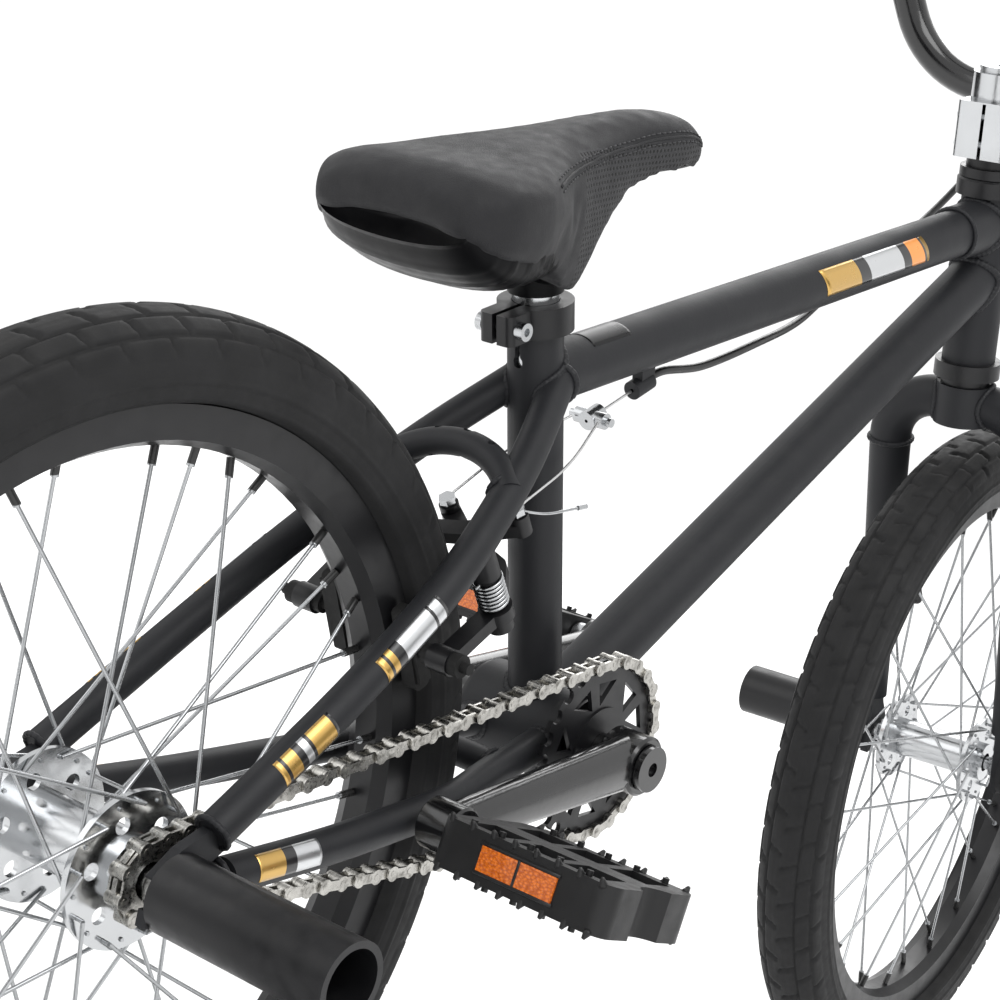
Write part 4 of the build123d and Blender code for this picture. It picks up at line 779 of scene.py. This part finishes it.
def make_steering_welds():
    fork, bar = Soup(), Soup()
    for side in (-1, 1):
        top = steered(LEG_HEAD[0], side * LEG_Y, LEG_HEAD[1])
        foot = steered(LEG_FOOT[0], side * LEG_Y, LEG_FOOT[1])
        weld(fork, circle_line(top, top - foot, LEG_R + 0.2 * MM), 1.9 * MM)
        bow = steered(4 * MM, side * 8 * MM, 282 * MM)
        weld(fork, meeting_curve(bow, STEER_LEFT * side, LEG_R, STEER_FOOT, HEAD_DIR, 19.5 * MM), 2.2 * MM)
        knee, shoulder, _ = (steered_mm(p) for p in bar_line(side))
        middle = knee.lerp(shoulder, CROSSBAR_RISE / BAR_RISE)
        curve = meeting_curve(middle, -STEER_LEFT * side, 8 * MM, knee, (shoulder - knee).normalized(), BAR_R)
        weld(bar, curve, 1.8 * MM)
    new_piece("fork_welds", fork.verts, fork.faces, FRAME_PAINT, "steering")
    new_piece("bar_welds", bar.verts, bar.faces, GLOSS, "steering")


# ---- saddle

SADDLE_ORIGIN = Vector((-334, 0, 581))
SADDLE_TILT = radians(12)
SADDLE_AHEAD = Vector((cos(SADDLE_TILT), 0, sin(SADDLE_TILT)))
SADDLE_UP = Vector((-sin(SADDLE_TILT), 0, cos(SADDLE_TILT)))
# Each as (distance forward of the tail, value), in millimetres: crown height, half width, lower edge
SADDLE_TOP = [
    (0, -8), (12, -1), (25, 1), (50, 2), (82, 6), (120, 10), (160, 14), (200, 16), (230, 13), (248, 3),
    (255, -7),
]
SADDLE_HALF = [
    (0, 46), (5, 52), (20, 61.5), (40, 62.5), (60, 58), (80, 48.5), (100, 39), (125, 31), (150, 25.5),
    (180, 22), (210, 20.5), (235, 17), (250, 10), (255, 4),
]
SADDLE_LOW = [
    (0, -31), (20, -40), (40, -43), (60, -45), (80, -51), (95, -61), (110, -69), (120, -72.5), (130, -66),
    (138, -56), (146, -44), (155, -33), (170, -24), (190, -18), (210, -15.5), (230, -15), (245, -17),
    (255, -12),
]
SADDLE_TIP = 255.0


def along_table(table, x):
    """Smooth value at x in a list of (x, value) pairs."""
    xs = [row[0] for row in table]
    ys = [row[1] for row in table]
    last = len(xs) - 1
    k = max(0, min(last - 1, sum(1 for v in xs if v <= x) - 1))

    def slope(i):
        low, high = max(0, i - 1), min(last, i + 1)
        return (ys[high] - ys[low]) / (xs[high] - xs[low])

    span = xs[k + 1] - xs[k]
    share = max(0.0, min(1.0, (x - xs[k]) / span))
    h00 = 2 * share ** 3 - 3 * share ** 2 + 1
    h10 = share ** 3 - 2 * share ** 2 + share
    h01 = -2 * share ** 3 + 3 * share ** 2
    h11 = share ** 3 - share ** 2
    return h00 * ys[k] + h10 * span * slope(k) + h01 * ys[k + 1] + h11 * span * slope(k + 1)


def saddle_world(x, y, z):
    return (SADDLE_ORIGIN + SADDLE_AHEAD * x + SADDLE_UP * z + LEFT * y) * MM


def saddle_section(x, share):
    """Point on the cover: share runs from the right lower edge, -1, over the crown to the left one, 1."""
    top, half, low = (along_table(t, x) for t in (SADDLE_TOP, SADDLE_HALF, SADDLE_LOW))
    crown = min(16.0, half * 0.7, (top - low) * 0.7)
    reach = abs(share)
    if reach < 0.55:
        angle = reach / 0.55 * pi / 2
        y = half * sin(angle) ** 0.86
        z = top - crown * (1 - cos(angle) ** 0.9)
    else:
        down = (reach - 0.55) / 0.45
        deep = max(0.0, -low - 38) / 32
        tuck = 1.5 + 3.0 * deep
        y = half - tuck * down ** 1.6
        z = top - crown + (low - top + crown) * down
    return y * (1 if share > 0 else -1), z


def make_saddle_cover():
    stations = [SADDLE_TIP * (0.5 - 0.5 * cos(pi * i / 72)) for i in range(73)]
    shares = [-1 + 2 * j / 56 for j in range(57)]
    verts = []
    for x in stations:
        for share in shares:
            y, z = saddle_section(x, share)
            verts.append(saddle_world(x, y, z))
        low = along_table(SADDLE_LOW, x)
        edge_y = saddle_section(x, 1.0)[0]
        for share in (0.88, 0.5, 0.0, -0.5, -0.88):
            lift = min(7.0, (along_table(SADDLE_TOP, x) - low) * 0.25)
            verts.append(saddle_world(x, edge_y * share, low + lift * (1 - share * share)))
    columns = len(shares) + 5
    faces = grid_faces(len(stations), columns)
    obj = mesh_object("saddle_cover", verts, faces + end_faces(len(stations), columns), smooth=False)
    bm = bmesh.new()
    bm.from_mesh(obj.data)
    bmesh.ops.recalc_face_normals(bm, faces=bm.faces)
    bm.to_mesh(obj.data)
    bm.free()
    return obj


def settle(obj, voxel, cap):
    """Lets the filling press the cover out for a moment, so that it gets soft, uneven fullness."""
    bpy.context.view_layer.objects.active = obj
    remesh = obj.modifiers.new("remesh", "REMESH")
    remesh.mode = "VOXEL"
    remesh.voxel_size = voxel
    bpy.ops.object.modifier_apply(modifier=remesh.name)
    before = [v.co.copy() for v in obj.data.vertices]
    cloth = obj.modifiers.new("cloth", "CLOTH")
    cloth.settings.quality = 6
    cloth.settings.use_pressure = True
    cloth.settings.uniform_pressure_force = 4.0
    cloth.settings.mass = 0.15
    cloth.settings.effector_weights.gravity = 0.0
    cloth.point_cache.frame_start = 1
    cloth.point_cache.frame_end = 20
    for frame_number in range(1, 21):
        bpy.context.scene.frame_set(frame_number)
    bpy.ops.object.modifier_apply(modifier=cloth.name)
    bpy.context.scene.frame_set(1)
    for vertex, start in zip(obj.data.vertices, before):
        moved = vertex.co - start
        if moved.length > cap:
            vertex.co = start + moved * (cap / moved.length)
    smooth = obj.modifiers.new("smooth", "SMOOTH")
    smooth.factor = 0.5
    smooth.iterations = 3
    bpy.ops.object.modifier_apply(modifier=smooth.name)
    divide = obj.modifiers.new("divide", "SUBSURF")
    divide.levels = 1
    divide.render_levels = 1
    bpy.ops.object.modifier_apply(modifier=divide.name)
    for polygon in obj.data.polygons:
        polygon.use_smooth = True


KNIT_ROW = 3.0 * MM
KNIT_STEP = 3.4 * MM


def cover_material():
    """Pebbled synthetic; the nose's flanks are a dotted knit of a slightly lighter grey."""
    s = finish("saddle_mesh_finish", (0.013, 0.013, 0.0145), 0.62, grain=1700.0, depth=0.00006, mottle=0.08,
               Specular_IOR_Level=0.25, Sheen_Weight=0.04, Sheen_Roughness=0.5)
    offset = s.vector_math("SUBTRACT", s.place, tuple(SADDLE_ORIGIN * MM))
    x = s.vector_math("DOT_PRODUCT", offset, tuple(SADDLE_AHEAD))
    z = s.vector_math("DOT_PRODUCT", offset, tuple(SADDLE_UP))
    row = s.math("FLOOR", s.math("DIVIDE", z, KNIT_ROW))
    shift = s.math("MULTIPLY", s.math("MODULO", s.math("ABSOLUTE", row), 2.0), 0.5)
    u = s.math("SUBTRACT", s.math("FRACT", s.math("ADD", s.math("DIVIDE", x, KNIT_STEP), shift)), 0.5)
    v = s.math("SUBTRACT", s.math("FRACT", s.math("DIVIDE", z, KNIT_ROW)), 0.5)
    reach = s.math("SQRT", s.math("ADD", s.math("MULTIPLY", u, u), s.math("MULTIPLY", v, v)))
    hole = s.remap(reach, 0.20, 0.34, 1.0, 0.0)
    nose = s.math("MULTIPLY", s.remap(x, 0.112, 0.1124), s.remap(z, 0.0030, 0.0034, 1.0, 0.0))
    dots = s.math("MULTIPLY", hole, nose)
    pebble = s.cells(1400.0)
    tint = s.mix(nose, s.tint, (0.022, 0.022, 0.024))
    s.to("Base Color", s.mix(dots, tint, (0.003, 0.003, 0.003)))
    grain = s.bump(pebble, 0.00010, s.grain)
    s.to("Normal", s.bump(s.math("SUBTRACT", 1.0, dots), 0.0005, grain))
    return s.material


STITCH = 3.2 * MM
STITCH_GAP = 1.3 * MM


def stitch_rows(bvh, lines):
    """Small raised stitches laid end to end on the cover along each line."""
    soup = Soup()
    for line in lines:
        points = smooth_line(line, 400)
        walked, begin = 0.0, 0
        for k in range(1, len(points)):
            walked += (points[k] - points[k - 1]).length
            if walked < STITCH + STITCH_GAP:
                continue
            run = 0.0
            last = begin
            while last < k and run < STITCH:
                run += (points[last + 1] - points[last]).length
                last += 1
            chosen = [points[begin], points[(begin + last) // 2], points[last]]
            placed = []
            for n, point in enumerate(chosen):
                place, normal, _, _ = bvh.find_nearest(point)
                placed.append(place + normal * ((0.45 if n == 1 else 0.10) * MM))
            soup.take(*tube_mesh(placed, 0.42 * MM, 8))
            walked, begin = 0.0, k
    return soup


def make_saddle():
    cover = make_saddle_cover()
    settle(cover, 4.5 * MM, 1.6 * MM)
    dress(cover, cover_material())
    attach(cover, "seat")
    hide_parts("saddle_pad")
    corners = [cover.matrix_world @ v.co for v in cover.data.vertices]
    bvh = BVHTree.FromPolygons(corners, [tuple(p.vertices) for p in cover.data.polygons])
    lines = []
    for side in (-1, 1):
        for share in (0.40, 0.53):
            run = [72 + i * (246 - 72) / 24 for i in range(25)]
            lines.append([saddle_world(x, *saddle_section(x, side * share)) for x in run])
    soup = stitch_rows(bvh, lines)
    thread = finish("thread_finish", (0.024, 0.024, 0.026), 0.6, grain=3000.0, depth=0.00005, mottle=0.2,
                    mottle_scale=300.0)
    new_piece("saddle_stitches", soup.verts, soup.faces, thread.material, "seat")
    piping = Soup()
    for side in (-1, 1):
        edge = []
        for i in range(60):
            x = 70 + i * (247 - 70) / 59
            place, normal, _, _ = bvh.find_nearest(saddle_world(x, *saddle_section(x, side * 0.465)))
            edge.append(place + normal * 0.15 * MM)
        piping.take(*tube_mesh(edge, 0.75 * MM, 10))
    new_piece("saddle_piping", piping.verts, piping.faces, COVER, "seat")
    make_saddle_base()


def make_saddle_base():
    """Glossy moulded base that shows below the cover's rear edge, with raised ribs."""
    stations = [5 + i * 83 / 38 for i in range(39)]
    columns = 25
    verts = []
    for i, x in enumerate(stations):
        half = along_table(SADDLE_HALF, x) * 0.92
        low = along_table(SADDLE_LOW, x)
        bulge = 19 * max(0.0, sin(pi * (x - 3) / 87)) ** 0.7
        rib = 0.8 if i % 6 == 0 else 0.0
        for j in range(columns):
            angle = pi * j / (columns - 1)
            y = (half + rib) * cos(angle)
            z = low + 15 - (15 + bulge + rib) * sin(angle) ** 0.45
            verts.append(saddle_world(x, y, z))
    faces = grid_faces(len(stations), columns) + end_faces(len(stations), columns)
    new_piece("saddle_base_shell", verts, faces, BASE, "seat")


# ---- brake details

BRAKE_ORIGIN = Vector((-265.7, 0, 351.7))
BRAKE_TILT = radians(39.7)
BRAKE_ALONG = Vector((cos(BRAKE_TILT), 0, sin(BRAKE_TILT)))
BRAKE_OUT = Vector((-sin(BRAKE_TILT), 0, cos(BRAKE_TILT)))
PIVOT_T = 40.0
PIVOT_Y = 47.0
ARM_LAYER = 4.3
ANCHOR_T = 92.0
ANCHOR_Y = 25.0
ARM_THICK = 7.0


def brake_world(t, y, h):
    return (BRAKE_ORIGIN + BRAKE_ALONG * t + LEFT * y + BRAKE_OUT * h) * MM


def helix(centre_t, centre_y, low, high, radius, turns):
    """A spring's centre line in the brake's frame, with a straight tail at its top."""
    points = []
    steps = turns * 28
    for i in range(steps + 1):
        angle = 2 * pi * turns * i / steps
        height = low + (high - low) * i / steps
        points.append(brake_world(centre_t + radius * cos(angle), centre_y + radius * sin(angle), height))
    end = points[-1]
    return points + [end + BRAKE_ALONG * -6 * MM, end + BRAKE_ALONG * -17 * MM]


def make_brake_details():
    springs = Soup()
    for side in (-1, 1):
        low = side * ARM_LAYER + ARM_THICK / 2 + 1.9
        turns = 5 if side > 0 else 7
        springs.take(*tube_mesh(helix(PIVOT_T, side * PIVOT_Y, low, 18.0, 7.5, turns), 0.85 * MM, 8))
    new_piece("brake_springs", springs.verts, springs.faces, STEEL, "frame")
    for side, arm in ((-1, "brake_arm_left"), (1, "brake_arm_right")):
        height = -side * ARM_LAYER + ARM_THICK / 2 + 5.4
        start = brake_world(ANCHOR_T, side * ANCHOR_Y, height + 1.5)
        tail = Soup()
        if side < 0:
            ends = [start, start + Vector((14, -9, 1)) * MM, start + Vector((34, -14, 6)) * MM]
            tail.take(*tube_mesh(smooth_line(ends, 20), 0.8 * MM, 10))
            tip = ends[-1]
            tail.take(*tube_mesh([tip, tip + Vector((6, -1, 1.5)) * MM], 1.4 * MM, 12))
        bolt = brake_world(ANCHOR_T, side * ANCHOR_Y, height)
        hexes = [bolt - BRAKE_OUT * 0.4 * MM, bolt + BRAKE_OUT * 3.2 * MM]
        tail.take(*tube_mesh(hexes, 4.9 * MM, 6))
        new_piece(arm + "_anchor", tail.verts, tail.faces, STEEL, arm, smooth=False)


# ---- housing

CABLE_STOP = Vector((-80, 0, 492.5))
YOKE = Vector((-120, 0, 471))
GRIP_LENGTH = 128.0


def lever_place(out, ahead, up):
    """A point near the lever, given along the right grip, forward of it and upward, in millimetres."""
    knee, shoulder, tip = bar_line(-1)
    outward = (tip - shoulder).normalized()
    clamp = tip - outward * (GRIP_LENGTH + 14)
    high = Vector((1, 0, 0)).cross(outward)
    high = -high if high.z < 0 else high
    forward = outward.cross(high)
    forward = -forward if forward.x < 0 else forward
    return steered_mm(clamp + outward * out + forward.normalized() * ahead + Vector((0, 0, up)))


def make_housing():
    direction = (CABLE_STOP - YOKE).normalized()
    route = [
        CABLE_STOP + direction * -1.5, CABLE_STOP + direction * 20,
        (-20, 0, 509), (40, 3, 528), (100, 14, 545), (165, 29, 572), (235, 37, 603),
        (300, 43, 640), (352, 38, 690), (392, 20, 745), (402, -20, 810), (385, -80, 868),
    ]
    points = [Vector(p) * MM for p in route] + [lever_place(-62, 20, -6), lever_place(-35, 24, 0)]
    verts, faces = tube_mesh(smooth_line(points, 420), 2.5 * MM, 18)
    housing = mesh_object("housing", verts, faces)
    dress(housing, HOUSING)
    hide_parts("brake_housing")
    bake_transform(housing)
    for name, start, toward, length, body in (
        ("housing_ferrule_rear", points[0], points[1], 12, "frame"),
        ("housing_ferrule_front", points[-1], points[-2], 13, "steering"),
    ):
        end = start + (toward - start).normalized() * length * MM
        line = [start.lerp(end, i / 12) for i in range(13)]
        verts, faces = tube_mesh(line, lambda i: (3.25 if i % 12 else 2.9) * MM, 20)
        new_piece(name, verts, faces, ALLOY, body)


# ---- valves

VALVE_ANGLE = {"rear": radians(-4.0), "front": radians(117.0)}


def make_valve_caps():
    """Dust caps and the brass stems they screw on to."""
    for which, angle in VALVE_ANGLE.items():
        centre, ahead, left, above = wheel_axes(which)
        spoke = ahead * cos(angle) + above * sin(angle)
        cap = [centre + spoke * r * MM for r in (159.0, 159.4, 160.5, 164.0, 168.0, 171.5, 172.0)]
        widths = [2.4, 3.3, 3.8, 4.0, 4.1, 4.1, 3.4]
        verts, faces = tube_mesh(cap, lambda i, widths=widths: widths[i] * MM, 20)
        new_piece(which + "_valve_cap", verts, faces, BLACK, which + "_wheel")
        stem = [centre + spoke * r * MM for r in (171.0, 172.0, 176.0, 182.0, 187.5)]
        verts, faces = tube_mesh(stem, 3.0 * MM, 20)
        new_piece(which + "_valve_stem", verts, faces, NODE_FINISH[which + "_tube"], which + "_wheel")


# ---- pedal details

PEDAL_MID_Y = 147.0
PEDAL_HALF = 39.0


def pedal_place(side, x, y, z):
    """A point of a pedal: x along its short way, y outward along the spindle, z up, in millimetres."""
    joint = "pedal_right_spin" if side < 0 else "pedal_left_spin"
    centre = joint_place(joint)
    tilt = radians(9.0)
    along = Vector((cos(tilt), 0, -sin(tilt)))
    above = Vector((sin(tilt), 0, cos(tilt)))
    return Vector((centre.x, 0, centre.z)) + (along * x + above * z + LEFT * (side * y)) * MM


def make_pedal_studs():
    """Moulded studs, a frame round each reflector and the bar between its two halves."""
    for side, hand in HANDS:
        soup = Soup()
        for edge in (-1, 1):
            for n in range(8):
                y = PEDAL_MID_Y - 44 + n * 12.6
                for face in (-1, 1):
                    foot = pedal_place(side, edge * (PEDAL_HALF - 1.8), y, face * 11.0)
                    tip = pedal_place(side, edge * (PEDAL_HALF + 0.6), y, face * 14.2)
                    line = [foot.lerp(tip, k / 4) for k in range(5)]
                    soup.take(*tube_mesh(line, lambda i: (2.3 - 0.35 * i) * MM, 10))
            mid = [pedal_place(side, edge * (PEDAL_HALF + 0.9), PEDAL_MID_Y, z)
                   for z in (-6.4, -3, 0, 3, 6.4)]
            soup.take(*tube_mesh(mid, 0.8 * MM, 8))
            for height in (-6.9, 6.9):
                rail = [pedal_place(side, edge * (PEDAL_HALF + 0.2), PEDAL_MID_Y + y, height)
                        for y in (-23, -12, 0, 12, 23)]
                soup.take(*tube_mesh(rail, 1.0 * MM, 8))
        new_piece("pedal_studs_" + hand, soup.verts, soup.faces, RESIN, "pedal_" + hand)


# ---- small edges

def soften(node):
    """Small rounded edges on a CAD node."""
    bevel = NODES[node].modifiers.new("soft_edges", "BEVEL")
    bevel.width = 0.6 * MM
    bevel.segments = 2
    bevel.limit_method = "ANGLE"
    bevel.angle_limit = radians(42)


make_frame_welds()
make_steering_welds()
make_tyre("rear")
make_tyre("front")
make_decals()
make_saddle()
make_brake_details()
make_housing()
make_valve_caps()
make_pedal_studs()
for name in ("pedal_right", "pedal_left", "stem", "seat_clamp", "dropouts"):
    soften(name)

# ---- stage

def stage_plane(name, finish_name, size, scale, dark, light):
    """A square plane for the set, in a plain colour with a slight cloudiness."""
    bpy.ops.mesh.primitive_plane_add(size=size)
    plane = bpy.context.object
    plane.name = name
    s = Shader(finish_name, Roughness=0.9)
    s.to("Base Color", s.mix(s.noise(scale, 3.0), (dark,) * 3, (light,) * 3))
    dress(plane, s.material)
    return plane


def aim(obj, place, target):
    obj.location = place
    obj.rotation_euler = (Vector(target) - Vector(place)).to_track_quat("-Z", "Y").to_euler()


def make_light(name, place, target, size, power):
    light = bpy.data.lights.new(name, "AREA")
    light.shape = "RECTANGLE"
    light.size = size
    light.size_y = size
    light.energy = power
    aim(linked(name, light), place, target)


def make_flag(name, place, target, width, height):
    """A black card beside the set that gives bright metal something dark to mirror."""
    card = stage_plane(name, name + "_cloth", 1, 30.0, 0.01, 0.02)
    card.scale = (width, height, 1)
    aim(card, place, target)
    card.visible_camera = False
    card.visible_shadow = False
    card.visible_diffuse = False


def make_world(strength):
    world = bpy.data.worlds.new("studio")
    bpy.context.scene.world = world
    world.use_nodes = True
    sky = world.node_tree.nodes["Background"]
    sky.inputs["Color"].default_value = (1, 1, 1, 1)
    sky.inputs["Strength"].default_value = strength


def make_camera():
    """Right rear quarter, a little above the axles, rolled anticlockwise."""
    place = Vector((-1158.43, -709.43, 569.96)) * MM
    yaw, pitch, roll = 0.6304, -0.1228, 0.2273
    ahead = Vector((cos(pitch) * cos(yaw), cos(pitch) * sin(yaw), sin(pitch)))
    right = ahead.cross(UP).normalized()
    above = right.cross(ahead)
    cam_right = right * cos(roll) + above * sin(roll)
    cam_up = above * cos(roll) - right * sin(roll)
    data = bpy.data.cameras.new("camera")
    data.lens = 82.14
    data.sensor_width = 36.0
    camera = linked("camera", data)
    turned = Matrix((cam_right, cam_up, -ahead)).transposed().to_4x4()
    camera.matrix_world = Matrix.Translation(place) @ turned
    bpy.context.scene.camera = camera


stage_plane("floor", "floor_finish", 60, 0.8, 0.95, 0.97)
make_world(1.08)
make_light("key", (-1.2, -2.2, 3.0), (0, 0, 0.4), 2.2, 60)
make_light("fill", (-2.6, 1.8, 2.2), (0, 0, 0.4), 2.5, 20)
make_light("rim", (2.4, 1.2, 2.6), (0, 0, 0.4), 2.0, 40)
make_flag("flag_right", (0.4, -1.9, 0.55), (-0.1, 0, 0.35), 1.5, 0.9)
make_flag("flag_rear", (-2.1, -0.1, 0.7), (0, 0, 0.3), 0.8, 1.1)
make_flag("flag_left", (0.2, 1.9, 0.6), (0, 0, 0.35), 1.2, 0.9)
bpy.context.scene.view_settings.view_transform = "Standard"
make_camera()
